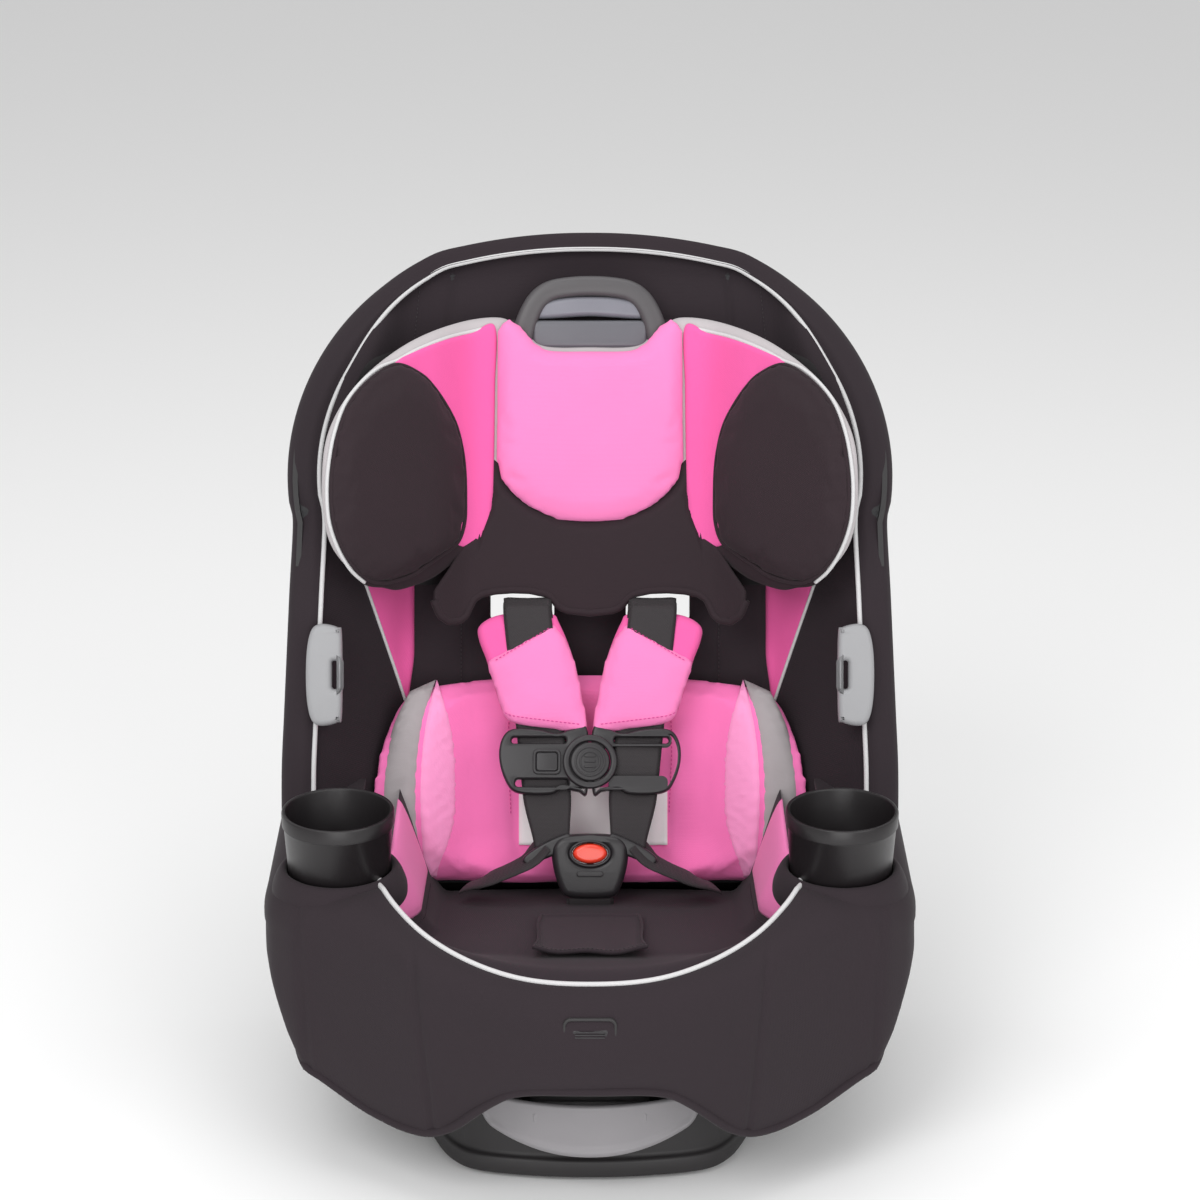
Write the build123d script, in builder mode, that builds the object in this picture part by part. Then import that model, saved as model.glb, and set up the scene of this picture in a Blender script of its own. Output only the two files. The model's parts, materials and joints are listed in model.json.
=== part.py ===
from build123d import *

import os
from math import cos, radians, sin, tan

os.makedirs("parts", exist_ok=True)

# A convertible child car seat. +Z is up, +X is to the right of someone looking at its front, and the seat
# faces -Y. The origin is on the ground under the middle of the base. All sizes are millimetres and degrees.
#
# Points on the back are given by their "rise", up the back from the crease where back and seat meet, and
# their "fore", square to the back and forwards.

# ---------------------------------------------------------------- fits and stock sizes
FIT = 0.3                  # gap between pieces that lie against each other
SHAFT_FIT = 0.05           # radial gap of a shaft in its bore
WALL = 4.0                 # wall of the moulded shells
STRAP_T = 1.6              # harness webbing thickness
STRAP_W = 38.0             # harness webbing width
STRAP_SIDE = 12.0          # room beside a strap in the slots of the back
FAR = 400.0                # longer than anything that is cut

# ---------------------------------------------------------------- back
BACK_LEAN = 20.0
CREASE_Y = 80.0
CREASE_Z = 125.0
SHELL_HALF = 236.0         # half width of the shell, seat and lower back
TOP_RISE = 522.0           # top of the shell
STRAIGHT_RISE = 100.0      # the sides are parallel up to here
SHOULDER_HALF = SHELL_HALF - 8
SHOULDER_RISE = TOP_RISE - 232
SHOULDER_MID = (SHELL_HALF - 41, TOP_RISE - 74)
CROWN_HALF = 120.0         # where the shoulder arc ends and the crown arc starts
CROWN_RISE = TOP_RISE - 15
CROWN_BULGE = 3.5
BACK_DEPTH = 60.0          # rear face of the shell, behind the crease
RIM_FORE = 100.0           # how far the side wings stand forwards
RIM_BEND = TOP_RISE - 222  # above this the wings slope back
RIM_END = TOP_RISE - 22
RIM_TOP_FORE = -6.0
FOAM_BACK = 26.0           # rear face of the torso foam
LINER = 6.0                # padded lining on the foam
CHANNEL_HALF = SHELL_HALF - 86
CHANNEL_SPREAD = 0.58      # how fast the torso space widens forwards
COVER = 5.0                # cover on the outside of the back
RIM_PAD = 6.0              # cover on the rim
RIB_RISES = (320, 352, 384, 416, 448, 480)
RIB_LENGTH = 300.0
RIB_WIDTH = 8.0
WINDOW = (170.0, 150.0)    # opening at the rear that gives access to the harness yoke
WINDOW_RISE = 190.0
BELT_RISES = (26.0, 114.0)  # the vehicle belt's way through the back
BELT_FORES = (-54.0, -28.0)

# ---------------------------------------------------------------- cup holders
CUP_R_LOW = 36.0
CUP_FLARE = 5.5            # how much wider the rim is than the bottom
CUP_WALL = 2.5
CUP_BOTTOM = 193.0
CUP_RIM = 275.0
SOCKET_GAP = 4.0           # between the cup's bottom and its socket
SOCKET_WALL = 4.0
COLLAR_R = CUP_R_LOW + 18
COLLAR_T = 10.0
SOCKET_R = CUP_R_LOW + SOCKET_GAP + SOCKET_WALL
CUP_X = SHELL_HALF - SOCKET_R - WALL - 1
CUP_Y = -113.0

# ---------------------------------------------------------------- seat
SEAT_FLOOR = 80.0          # underside of the shell
SEAT_REAR = 130.0
SEAT_FRONT = -238.0
KEEL_Y = -178.0            # the floor slopes up in front of this
KEEL_SLOPE = 0.55
SEAT_SLOPE = 0.198         # rise of the sitting surface towards the front
SEAT_NOSE_Y = -223.0
NOSE_BOTTOM = 163.0        # underside of the cushion's front edge
CUSHION_T = 20.0
CUSHION_REAR = 68.0
FOAM_FLOOR = 92.0          # the seat foam stands on the webbing channel
SEAT_HALF = CUP_X - SOCKET_R - 1
ARM_LOW = 158.0            # shell top at the front
ARM_HIGH = 208.0           # shell top at the arms
ARM_RAMP = (-200.0, -145.0)
ARM_PAD = 20.0
FLANKS = ((21.0, 0.0), (10.0, 32.0), (0.0, 78.0))  # how far the sides draw in, at heights over the floor
APRON = 8.0                # fabric skirt round the seat
APRON_REAR = 60.0
HEM_ARCH = 105.0
HEM_LOW = 57.0
HEM_LOW_X = SHELL_HALF / 2
HEM_SIDE = 86.0

# ---------------------------------------------------------------- base
BASE_HALF = 150.0
BASE_TOP = 75.0
BASE_FRONT = -181.0
BASE_REAR = 180.0
BASE_BOW = (84.0, -170.0)  # where the bowed front ends
BASE_CHEEK = (118.0, -125.0)
BASE_SIDE_Y = -20.0
FOOT_T = 4.0
FOOT = (50.0, 40.0)
FOOT_PITCH = (180.0, 220.0)
FOOT_MIDDLE = 24.0         # diameter of the middle foot
PIVOT_Y = 120.0
PIVOT_Z = 48.0
PIVOT_R = 8.0
BUSH_WALL = 3.0
BOSS_T = 28.0
BRACKET_X = 104.0
BRACKET_T = 5.0
RACK_R = PIVOT_Y + 151.4   # tooth tips, from the pivot
RACK_DEPTH = 16.0
RACK_T = 6.0
BOLT_Y = -152.0            # rear face of the recline bolt
BOLT = (108.0, 8.0, 12.0)
BOLT_GUIDE_X = 48.0
HANDLE_HALF = 82.0
HANDLE_TOP = 78.5
HANDLE_END_Y = -186.0
HANDLE_BOW = 22.0
HANDLE_LOW = 35.0
HANDLE_LOW_END = 56.0
HANDLE_SIDE = HANDLE_HALF + 8
HANDLE_T = 5.0
HANDLE_PIN_Y = -187.5
HANDLE_PIN_Z = 66.0
HANDLE_PIN_R = 2.5
HANDLE_PIN_HALF = 52.0

# ---------------------------------------------------------------- headrest
HEAD_PLATE = 3.0           # rear face of the headrest shell
HEAD_FLAT = 100.0          # half width of its flat middle
HEAD_WING = 44.0           # wing angle
HEAD_HALF = SHELL_HALF - 27
HEAD_FOAM = 18.0           # depths from the rear face to the front of the foam, the cover and the pads
HEAD_COVER = 24.0
HEAD_PAD = 36.0
HEAD_TRAVEL = 140.0
HEAD_TOP = 458.0
HEAD_BOTTOM = 240.0
PAD_HALF = 74.0            # centre pad
WING_PAD = (150.0, 332.0)
WING_PAD_R = (50.0, 84.0)
NOTCH_HALF = 62.0          # notch at the top for the grip
NOTCH_RISE = 431.0
BIB_BOTTOM = 221.0
GRIP_HALF = 57.0
GRIP_TOP = 487.0
GRIP_T = 18.0
GRIP_HOLE = (94.0, 28.0)
TRIGGER = (92.0, 18.0, 13.0)
ROD_R = 4.0
ROD_X = 40.0
ROD_FORE = -42.0
ROD_LOW = 284.0
ROD_BRACKET = 9.0
SLIDE_RISE = 340.0
SLIDE_HALF = 55.0
SLIDE_TALL = 40.0
NECK_HALF = 14.0
SCREW_R = 2.2
PIN_R = 3.0
PIN_LENGTH = 16.0
STRIP_T = 1.2
NOTCHES = 8

# ---------------------------------------------------------------- harness
SLOT_RISE = 229.5          # where the shoulder straps come through
SLOT_FORE = 36.0
BUCKLE_RISE = 48.0
BUCKLE_FORE = 73.0
STRAP_X_LOW = 29.0
STRAP_X_HIGH = 50.0
STRAP_REAR_FORE = -40.0
TONGUE_END = 11.0          # the straps start this far up from the buckle
PAD_T = 14.0
CLIP_ALONG = 54.0
CLIP = (70.0, 54.0, 14.0)
CLIP_BUTTON_R = 15.0
BUCKLE_BACK = 62.0
BUCKLE_T = 22.0
TONGUE_FORE = 71.0
TONGUE_T = 4.0
RED_BUTTON = (14.0, 22.0)
RED_BUTTON_RISE = 26.0
CROTCH_Y = 10.0
INSERT_FACE = 26.0
INSERT_TOP = 175.0
INSERT_HALF = 126.0
INSERT_FRONT = 28.0
YOKE_RISES = (120.0, 140.0)
YOKE_HALF = 66.0
TAIL_W = 25.0              # adjuster webbing
ADJUSTER = (40.0, 26.0)
ADJUSTER_Z = 160.0

LEAN_C = cos(radians(BACK_LEAN))
LEAN_S = sin(radians(BACK_LEAN))
CREASE = (0, CREASE_Y, CREASE_Z)
BACK = Plane(origin=CREASE, x_dir=(1, 0, 0), z_dir=(0, -LEAN_C, LEAN_S))
UP_BACK = Plane(origin=CREASE, x_dir=(1, 0, 0), z_dir=(0, LEAN_S, LEAN_C))
SIDES = ((-1, "left"), (1, "right"))


# ---------------------------------------------------------------- helpers
def at_back(rise, fore):
    """(y, z) of a point given by its rise and fore."""
    return (CREASE_Y + rise * LEAN_S - fore * LEAN_C, CREASE_Z + rise * LEAN_C + fore * LEAN_S)


def back_vector(rise, fore):
    """A direction given by its rise and fore."""
    return (0, rise * LEAN_S - fore * LEAN_C, rise * LEAN_C + fore * LEAN_S)


def seat_z(y):
    """Height of the sitting surface."""
    return CREASE_Z + (CREASE_Y - y) * SEAT_SLOPE


def back_outline(grow, fore):
    """Front view of the back shell, grown outwards."""
    with BuildSketch(BACK.offset(fore)) as outline:
        with BuildLine():
            Polyline((0, -60), (SHELL_HALF, -60), (SHELL_HALF, STRAIGHT_RISE), (SHOULDER_HALF, SHOULDER_RISE))
            ThreePointArc((SHOULDER_HALF, SHOULDER_RISE), SHOULDER_MID, (CROWN_HALF, CROWN_RISE))
            ThreePointArc((CROWN_HALF, CROWN_RISE), (CROWN_HALF / 2, TOP_RISE - CROWN_BULGE), (0, TOP_RISE))
            mirror(about=Plane.YZ)
        make_face()
        if grow:
            offset(amount=grow)
    return outline.sketch


def rim_region(grow):
    """Side view of everything behind the front edge of the wings."""
    points = [(-80, -FAR), (-80, RIM_FORE + grow), (RIM_BEND, RIM_FORE + grow),
              (RIM_END, RIM_TOP_FORE + grow), (TOP_RISE + FAR, RIM_TOP_FORE + grow), (TOP_RISE + FAR, -FAR)]
    with BuildSketch(Plane.YZ) as region:
        with BuildLine():
            Polyline([at_back(rise, fore) for rise, fore in points], close=True)
        make_face()
    return region.sketch


def flank_region(grow):
    """Front view of everything beside the shell, whose sides draw in towards the floor."""
    points = [(SHELL_HALF + grow - inwards, SEAT_FLOOR + height) for inwards, height in FLANKS]
    corners = [(points[0][0], 0)] + points + [(points[-1][0], 2 * FAR), (FAR, 2 * FAR), (FAR, 0)]
    with BuildSketch(Plane.XZ) as region:
        with BuildLine():
            Polyline(corners, close=True)
        make_face()
        mirror(about=Plane.YZ)
    return region.sketch


def back_block(grow, rear, rim_grow, foot):
    """Solid block inside the back's outline, from its rear face to the rim, above one rise."""
    with BuildPart() as block:
        extrude(back_outline(grow, rear), amount=FAR)
        extrude(rim_region(rim_grow), amount=FAR, both=True, mode=Mode.INTERSECT)
        extrude(flank_region(grow), amount=FAR, both=True, mode=Mode.SUBTRACT)
        split(bisect_by=UP_BACK.offset(foot), keep=Keep.TOP)
    return block.part


def torso_channel(grow):
    """The space between the wings, running up the back."""
    reach = 200
    wide = CHANNEL_HALF + grow + CHANNEL_SPREAD * reach
    with BuildPart() as channel:
        with BuildSketch(UP_BACK.offset(-reach)):
            with BuildLine():
                Polyline((-CHANNEL_HALF - grow, grow), (CHANNEL_HALF + grow, grow), (wide, -reach),
                         (-wide, -reach), close=True)
            make_face()
        extrude(amount=TOP_RISE + 2 * reach)
    return channel.part


def seat_plan(grow, z):
    """Top view of the seat shell, grown outwards; its front corners run round the cup holders."""
    corner = SOCKET_R + WALL + 1
    with BuildSketch(Plane.XY.offset(z)) as plan:
        with BuildLine():
            Polyline((0, SEAT_REAR), (SHELL_HALF, SEAT_REAR), (SHELL_HALF, CUP_Y))
            ThreePointArc((SHELL_HALF, CUP_Y), (CUP_X + corner * 0.707, CUP_Y - corner * 0.707),
                          (CUP_X + corner * 0.174, CUP_Y - corner * 0.985))
            ThreePointArc((CUP_X + corner * 0.174, CUP_Y - corner * 0.985), (CUP_X * 0.59, SEAT_FRONT + 24),
                          (0, SEAT_FRONT))
            mirror(about=Plane.YZ)
        make_face()
        if grow:
            offset(amount=grow)
    return plan.sketch


def arm_region(grow):
    """Side view of everything under the top edge of the seat shell."""
    with BuildSketch(Plane.YZ) as region:
        with BuildLine():
            Polyline((-FAR, -10), (-FAR, ARM_LOW + grow), (ARM_RAMP[0], ARM_LOW + grow),
                     (ARM_RAMP[1], ARM_HIGH + grow), (FAR, ARM_HIGH + grow), (FAR, -10), close=True)
        make_face()
    return region.sketch


def keel_region(floor):
    """Side view of everything under the seat's floor, which slopes up at the front."""
    with BuildSketch(Plane.YZ) as region:
        with BuildLine():
            Polyline((KEEL_Y, floor), (KEEL_Y - 200, floor + 200 * KEEL_SLOPE), (KEEL_Y - 200, 0), (FAR, 0),
                     (FAR, floor), close=True)
        make_face()
    return region.sketch


def seat_block(grow, low, top_grow):
    """Solid block inside the seat's plan, from a height up to the arm line."""
    with BuildPart() as block:
        extrude(seat_plan(grow, low), amount=FAR)
        extrude(arm_region(top_grow), amount=FAR, both=True, mode=Mode.INTERSECT)
        extrude(flank_region(grow), amount=FAR, both=True, mode=Mode.SUBTRACT)
    return block.part


def seat_inside(grow, floor, top_grow):
    """A seat block with the sloped floor."""
    with BuildPart() as block:
        add(seat_block(grow, 0, top_grow))
        extrude(keel_region(floor), amount=FAR, both=True, mode=Mode.SUBTRACT)
    return block.part


def back_box(x_low, x_high, rise_low, rise_high, fore_low, fore_high):
    """A box square to the back."""
    with BuildPart() as box:
        with BuildSketch(BACK.offset(fore_low)):
            with Locations(((x_low + x_high) / 2, (rise_low + rise_high) / 2)):
                Rectangle(x_high - x_low, rise_high - rise_low)
        extrude(amount=fore_high - fore_low)
    return box.part


def world_box(x_low, x_high, y_low, y_high, z_low, z_high):
    """A box square to the ground."""
    with BuildPart() as box:
        with BuildSketch(Plane.XY.offset(z_low)):
            with Locations(((x_low + x_high) / 2, (y_low + y_high) / 2)):
                Rectangle(x_high - x_low, y_high - y_low)
        extrude(amount=z_high - z_low)
    return box.part


def finish(part, name):
    part.label = name
    export_step(part, "parts/" + name + ".step")


TORSO_SPACE = back_block(COVER + 4, -BACK_DEPTH - 10, RIM_PAD + 1, -0.5)
SLOT_HALF = STRAP_W / 2 + STRAP_SIDE
HARNESS_SLOTS = [back_box(side * STRAP_X_HIGH - SLOT_HALF, side * STRAP_X_HIGH + SLOT_HALF, SLOT_RISE - 15.5,
                          SLOT_RISE + HEAD_TRAVEL + 16.5, -FOAM_BACK - 2, 2) for side, name in SIDES]
NECK_SLOT = back_box(-NECK_HALF - 2, NECK_HALF + 2, SLIDE_RISE - 14, RIM_END, -FOAM_BACK - 2, 2)
BELT_SLOT = back_box(-SHELL_HALF - 60, SHELL_HALF + 60, *BELT_RISES, *BELT_FORES)
ADJUSTER_HOLE = world_box(-ADJUSTER[0] / 2 - 1, ADJUSTER[0] / 2 + 1, -262, -224,
                          ADJUSTER_Z - ADJUSTER[1] / 2 - 1, ADJUSTER_Z + ADJUSTER[1] / 2 + 1)
CROTCH_SLOT = world_box(-STRAP_W / 2 - 2, STRAP_W / 2 + 2, CROTCH_Y - 3.5, CROTCH_Y + 3.5, 80, 180)
SCREW_PLACES = [(x, rise) for x in (-18, 18)
                for rise in (ROD_LOW + ROD_BRACKET / 2, TOP_RISE - 18 + ROD_BRACKET / 2)]
ROD_PLACES = [(-ROD_X, -ROD_FORE), (ROD_X, -ROD_FORE)]
INSIDE_REAR = -BACK_DEPTH + WALL + FIT

# ---------------------------------------------------------------- base
with BuildPart() as base_shell:
    for inset, low, mode in ((0, FOOT_T - 1, Mode.ADD), (WALL, FOOT_T + WALL, Mode.SUBTRACT)):
        with BuildSketch(Plane.XY.offset(low)):
            with BuildLine():
                ThreePointArc((-BASE_BOW[0], BASE_BOW[1]), (0, BASE_FRONT), BASE_BOW)
                Polyline(BASE_BOW, BASE_CHEEK, (BASE_HALF, BASE_SIDE_Y), (BASE_HALF, BASE_REAR),
                         (-BASE_HALF, BASE_REAR), (-BASE_HALF, BASE_SIDE_Y), (-BASE_CHEEK[0], BASE_CHEEK[1]),
                         (-BASE_BOW[0], BASE_BOW[1]))
            make_face()
            if inset:
                offset(amount=-inset)
        extrude(amount=BASE_TOP - low, mode=mode)
    # bosses that carry the pivot shaft
    boss_top = PIVOT_Z + PIVOT_R + BUSH_WALL + 9
    with BuildSketch(Plane.YZ.offset(BASE_HALF - BOSS_T - 2)):
        with Locations((PIVOT_Y, (boss_top + FOOT_T) / 2)):
            Rectangle(2 * PIVOT_R + 34, boss_top - FOOT_T)
    extrude(amount=BOSS_T)
    mirror(about=Plane.YZ)
    with BuildSketch(Plane.YZ.offset(-BASE_HALF - 1)):
        with Locations((PIVOT_Y, PIVOT_Z)):
            Circle(PIVOT_R + BUSH_WALL)
    extrude(amount=2 * BASE_HALF + 2, mode=Mode.SUBTRACT)
    # guides of the recline bolt
    with BuildSketch(Plane.XY.offset(FOOT_T)):
        with Locations((-BOLT_GUIDE_X, BOLT_Y + 2), (BOLT_GUIDE_X, BOLT_Y + 2)):
            Rectangle(8, 36)
    extrude(amount=PIVOT_Z + 16)
    with BuildSketch(Plane.XZ.offset(-BOLT_Y - 2)):
        with Locations((0, PIVOT_Z)):
            Rectangle(BOLT[0] + 2, BOLT[2] + 2 * FIT)
    extrude(amount=18, mode=Mode.SUBTRACT)
    # pockets for the feet
    with BuildSketch(Plane.XY.offset(FOOT_T - 1)):
        with GridLocations(*FOOT_PITCH, 2, 2):
            RectangleRounded(*FOOT, 8)
        Circle(FOOT_MIDDLE / 2)
    extrude(amount=1, mode=Mode.SUBTRACT)
finish(base_shell.part, "base_shell")

with BuildPart() as base_feet:
    with BuildSketch(Plane.XY):
        with GridLocations(*FOOT_PITCH, 2, 2):
            RectangleRounded(FOOT[0] - 2 * FIT, FOOT[1] - 2 * FIT, 8 - FIT)
        Circle(FOOT_MIDDLE / 2 - FIT)
    extrude(amount=FOOT_T)
finish(base_feet.part, "base_feet")

with BuildPart() as pivot_bushes:
    for side, name in SIDES:
        with BuildSketch(Plane.YZ.offset(side * (BASE_HALF - BOSS_T / 2 - 2))):
            with Locations((PIVOT_Y, PIVOT_Z)):
                Circle(PIVOT_R + BUSH_WALL - 0.02)
                Circle(PIVOT_R, mode=Mode.SUBTRACT)
        extrude(amount=BOSS_T / 2 - 0.5, both=True)
finish(pivot_bushes.part, "pivot_bushes")

with BuildPart() as pivot_shaft:
    with BuildSketch(Plane.YZ.offset(-BASE_HALF + 2)):
        with Locations((PIVOT_Y, PIVOT_Z)):
            Circle(PIVOT_R)
            Circle(PIVOT_R - 2, mode=Mode.SUBTRACT)
    extrude(amount=2 * BASE_HALF - 4)
finish(pivot_shaft.part, "pivot_shaft")

with BuildPart() as recline_bolt:
    with BuildSketch(Plane.XZ.offset(-BOLT_Y)):
        with Locations((0, PIVOT_Z)):
            Rectangle(BOLT[0], BOLT[2])
    extrude(amount=BOLT[1])
finish(recline_bolt.part, "recline_bolt")

# a leaf spring that pushes the bolt back towards the rack
with BuildPart() as recline_spring:
    with BuildSketch(Plane.XY.offset(PIVOT_Z - 4)):
        with BuildLine():
            spring_end = BOLT_Y - BOLT[1] - 11
            ThreePointArc((-40, spring_end), (0, spring_end + 9.5), (40, spring_end))
            Line((40, spring_end), (40, spring_end - 1.5))
            ThreePointArc((40, spring_end - 1.5), (0, spring_end + 8), (-40, spring_end - 1.5))
            Line((-40, spring_end - 1.5), (-40, spring_end))
        make_face()
    extrude(amount=8)
finish(recline_spring.part, "recline_spring")

with BuildPart() as recline_handle:
    with BuildSketch(Plane.XY.offset(HANDLE_LOW)):
        with BuildLine():
            ThreePointArc((-HANDLE_HALF, HANDLE_END_Y), (0, HANDLE_END_Y - HANDLE_BOW),
                          (HANDLE_HALF, HANDLE_END_Y))
            Line((HANDLE_HALF, HANDLE_END_Y), (HANDLE_HALF, HANDLE_END_Y + HANDLE_T))
            ThreePointArc((HANDLE_HALF, HANDLE_END_Y + HANDLE_T), (0, HANDLE_END_Y - HANDLE_BOW + HANDLE_T),
                          (-HANDLE_HALF, HANDLE_END_Y + HANDLE_T))
            Line((-HANDLE_HALF, HANDLE_END_Y + HANDLE_T), (-HANDLE_HALF, HANDLE_END_Y))
        make_face()
    extrude(amount=HANDLE_TOP - HANDLE_LOW)
    # the lower edge bows down in the middle
    with BuildSketch(Plane.XZ.offset(150)):
        with BuildLine():
            ThreePointArc((-HANDLE_SIDE, HANDLE_LOW_END), (0, HANDLE_LOW), (HANDLE_SIDE, HANDLE_LOW_END))
            Polyline((HANDLE_SIDE, HANDLE_LOW_END), (HANDLE_SIDE, HANDLE_TOP + 5),
                     (-HANDLE_SIDE, HANDLE_TOP + 5), (-HANDLE_SIDE, HANDLE_LOW_END))
        make_face()
    extrude(amount=80, mode=Mode.INTERSECT)
    # barrel round the hinge pin
    with BuildSketch(Plane.YZ.offset(-HANDLE_PIN_HALF + 10)):
        with Locations((HANDLE_PIN_Y, HANDLE_PIN_Z)):
            Circle(2 * HANDLE_PIN_R)
        with Locations((HANDLE_PIN_Y - 5, HANDLE_PIN_Z)):
            Rectangle(10, 8)
    extrude(amount=2 * HANDLE_PIN_HALF - 20)
    with BuildSketch(Plane.YZ.offset(-100)):
        with Locations((HANDLE_PIN_Y, HANDLE_PIN_Z)):
            Circle(HANDLE_PIN_R + SHAFT_FIT)
    extrude(amount=200, mode=Mode.SUBTRACT)
finish(recline_handle.part, "recline_handle")

with BuildPart() as handle_pin:
    with BuildSketch(Plane.YZ.offset(-HANDLE_PIN_HALF)):
        with Locations((HANDLE_PIN_Y, HANDLE_PIN_Z)):
            Circle(HANDLE_PIN_R)
    extrude(amount=2 * HANDLE_PIN_HALF)
finish(handle_pin.part, "handle_pin")

with BuildPart() as handle_brackets:
    with BuildSketch(Plane.YZ.offset(HANDLE_PIN_HALF - 8)):
        with BuildLine():
            Polyline((-170, 58), (-162, 58), (-162, BASE_TOP - 2), (HANDLE_PIN_Y - 4, BASE_TOP - 2),
                     (HANDLE_PIN_Y - 4, HANDLE_PIN_Z - 4), (HANDLE_PIN_Y + 6, HANDLE_PIN_Z - 6), close=True)
        make_face()
        with Locations((HANDLE_PIN_Y, HANDLE_PIN_Z)):
            Circle(HANDLE_PIN_R, mode=Mode.SUBTRACT)
    extrude(amount=7)
    mirror(about=Plane.YZ)
    add(base_shell.part, mode=Mode.SUBTRACT)
finish(handle_brackets.part, "handle_brackets")

# ---------------------------------------------------------------- seat shell and what is fixed to it
with BuildPart() as seat_shell:
    add(back_block(0, -BACK_DEPTH, 0, -60))
    split(bisect_by=Plane.XY.offset(SEAT_FLOOR), keep=Keep.TOP)
    add(seat_inside(0, SEAT_FLOOR, 0))
    add(back_block(-WALL, WALL - BACK_DEPTH, 20, -1), mode=Mode.SUBTRACT)
    add(seat_inside(-WALL, SEAT_FLOOR + WALL, FAR), mode=Mode.SUBTRACT)
    add(BELT_SLOT, mode=Mode.SUBTRACT)
    add(ADJUSTER_HOLE, mode=Mode.SUBTRACT)
    with BuildSketch(BACK.offset(-BACK_DEPTH - 5)):
        with Locations((0, WINDOW_RISE)):
            RectangleRounded(*WINDOW, 20)
    extrude(amount=12, mode=Mode.SUBTRACT)
    # moulded ribs across the back
    with BuildSketch(BACK.offset(-BACK_DEPTH)):
        for rise in RIB_RISES:
            with Locations((0, rise)):
                RectangleRounded(RIB_LENGTH, RIB_WIDTH, RIB_WIDTH / 2 - 0.5)
    extrude(amount=-WALL)
    with BuildSketch(BACK.offset(-BACK_DEPTH - 5)):
        with Locations(*SCREW_PLACES):
            Circle(SCREW_R)
    extrude(amount=12, mode=Mode.SUBTRACT)
finish(seat_shell.part, "seat_shell")

with BuildPart() as pivot_brackets:
    with BuildSketch(Plane.YZ.offset(BRACKET_X)):
        with BuildLine():
            Polyline((PIVOT_Y - 60, SEAT_FLOOR - FIT), (PIVOT_Y + 8, SEAT_FLOOR - FIT),
                     (PIVOT_Y + PIVOT_R + 6, PIVOT_Z), (PIVOT_Y, PIVOT_Z - PIVOT_R - 7),
                     (PIVOT_Y - PIVOT_R - 6, PIVOT_Z), close=True)
        make_face()
        fillet(vertices().group_by(Axis.Z)[0], radius=8)
        with Locations((PIVOT_Y, PIVOT_Z)):
            Circle(PIVOT_R + SHAFT_FIT, mode=Mode.SUBTRACT)
    extrude(amount=BRACKET_T)
    add(world_box(BRACKET_X - 14, BRACKET_X + 15, PIVOT_Y - 60, PIVOT_Y + 8,
                  SEAT_FLOOR - 3 - FIT, SEAT_FLOOR - FIT))
    mirror(about=Plane.YZ)
finish(pivot_brackets.part, "pivot_brackets")

# an arc of teeth round the pivot
with BuildPart() as recline_rack:
    with BuildSketch(Plane.YZ.offset(-RACK_T / 2)):
        with BuildLine():
            CenterArc((PIVOT_Y, PIVOT_Z), RACK_R, 174, 12)
            CenterArc((PIVOT_Y, PIVOT_Z), RACK_R - RACK_DEPTH, 174, 12)
            for angle in (174, 186):
                along = (cos(radians(angle)), sin(radians(angle)))
                Line((PIVOT_Y + (RACK_R - RACK_DEPTH) * along[0], PIVOT_Z + (RACK_R - RACK_DEPTH) * along[1]),
                     (PIVOT_Y + RACK_R * along[0], PIVOT_Z + RACK_R * along[1]))
        make_face()
        with Locations((PIVOT_Y, PIVOT_Z)):
            with PolarLocations(RACK_R, 5, start_angle=174, angular_range=16):
                Rectangle(12, 9, mode=Mode.SUBTRACT)
    extrude(amount=RACK_T)
    rack_front = PIVOT_Y - RACK_R + 4.4
    add(world_box(-RACK_T / 2, RACK_T / 2, rack_front, rack_front + 14, 70, SEAT_FLOOR - FIT))
    add(world_box(-14, 14, rack_front - 3, rack_front + 27, SEAT_FLOOR - 3 - FIT, SEAT_FLOOR - FIT))
finish(recline_rack.part, "recline_rack")

for grow, inner, name in ((LINER + FIT, None, "torso_foam"), (LINER, 0, "torso_liner")):
    with BuildPart() as torso_layer:
        add(back_block(-WALL - FIT, -FOAM_BACK, -WALL, 1))
        if inner is None:
            add(torso_channel(grow), mode=Mode.SUBTRACT)
        else:
            add(torso_channel(grow), mode=Mode.INTERSECT)
            add(torso_channel(inner), mode=Mode.SUBTRACT)
        add(NECK_SLOT, mode=Mode.SUBTRACT)
        for slot in HARNESS_SLOTS:
            add(slot, mode=Mode.SUBTRACT)
    finish(torso_layer.part, name)

with BuildPart() as back_cover:
    add(back_block(COVER, -FOAM_BACK, RIM_PAD, 3))
    add(back_block(FIT, -BACK_DEPTH - 20, 0, -60), mode=Mode.SUBTRACT)
    add(torso_channel(0), mode=Mode.SUBTRACT)
    add(seat_shell.part, mode=Mode.SUBTRACT)
    add(BELT_SLOT, mode=Mode.SUBTRACT)
    add(NECK_SLOT, mode=Mode.SUBTRACT)
finish(back_cover.part, "back_cover")

with BuildPart() as seat_foam:
    with BuildSketch(Plane.YZ):
        with BuildLine():
            Polyline((SEAT_NOSE_Y - 1, FOAM_FLOOR + 30), (KEEL_Y - 4, FOAM_FLOOR),
                     (CUSHION_REAR - 2, FOAM_FLOOR),
                     (CUSHION_REAR - 2, seat_z(CUSHION_REAR - 2) - CUSHION_T - FIT),
                     (SEAT_NOSE_Y + 7, NOSE_BOTTOM - FIT), (SEAT_NOSE_Y - 1, NOSE_BOTTOM - 3), close=True)
        make_face()
    extrude(amount=SEAT_HALF - FIT, both=True)
    add(CROTCH_SLOT, mode=Mode.SUBTRACT)
    add(seat_block(-WALL - FIT, SEAT_FLOOR, FAR), mode=Mode.INTERSECT)
finish(seat_foam.part, "seat_foam")

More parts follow.
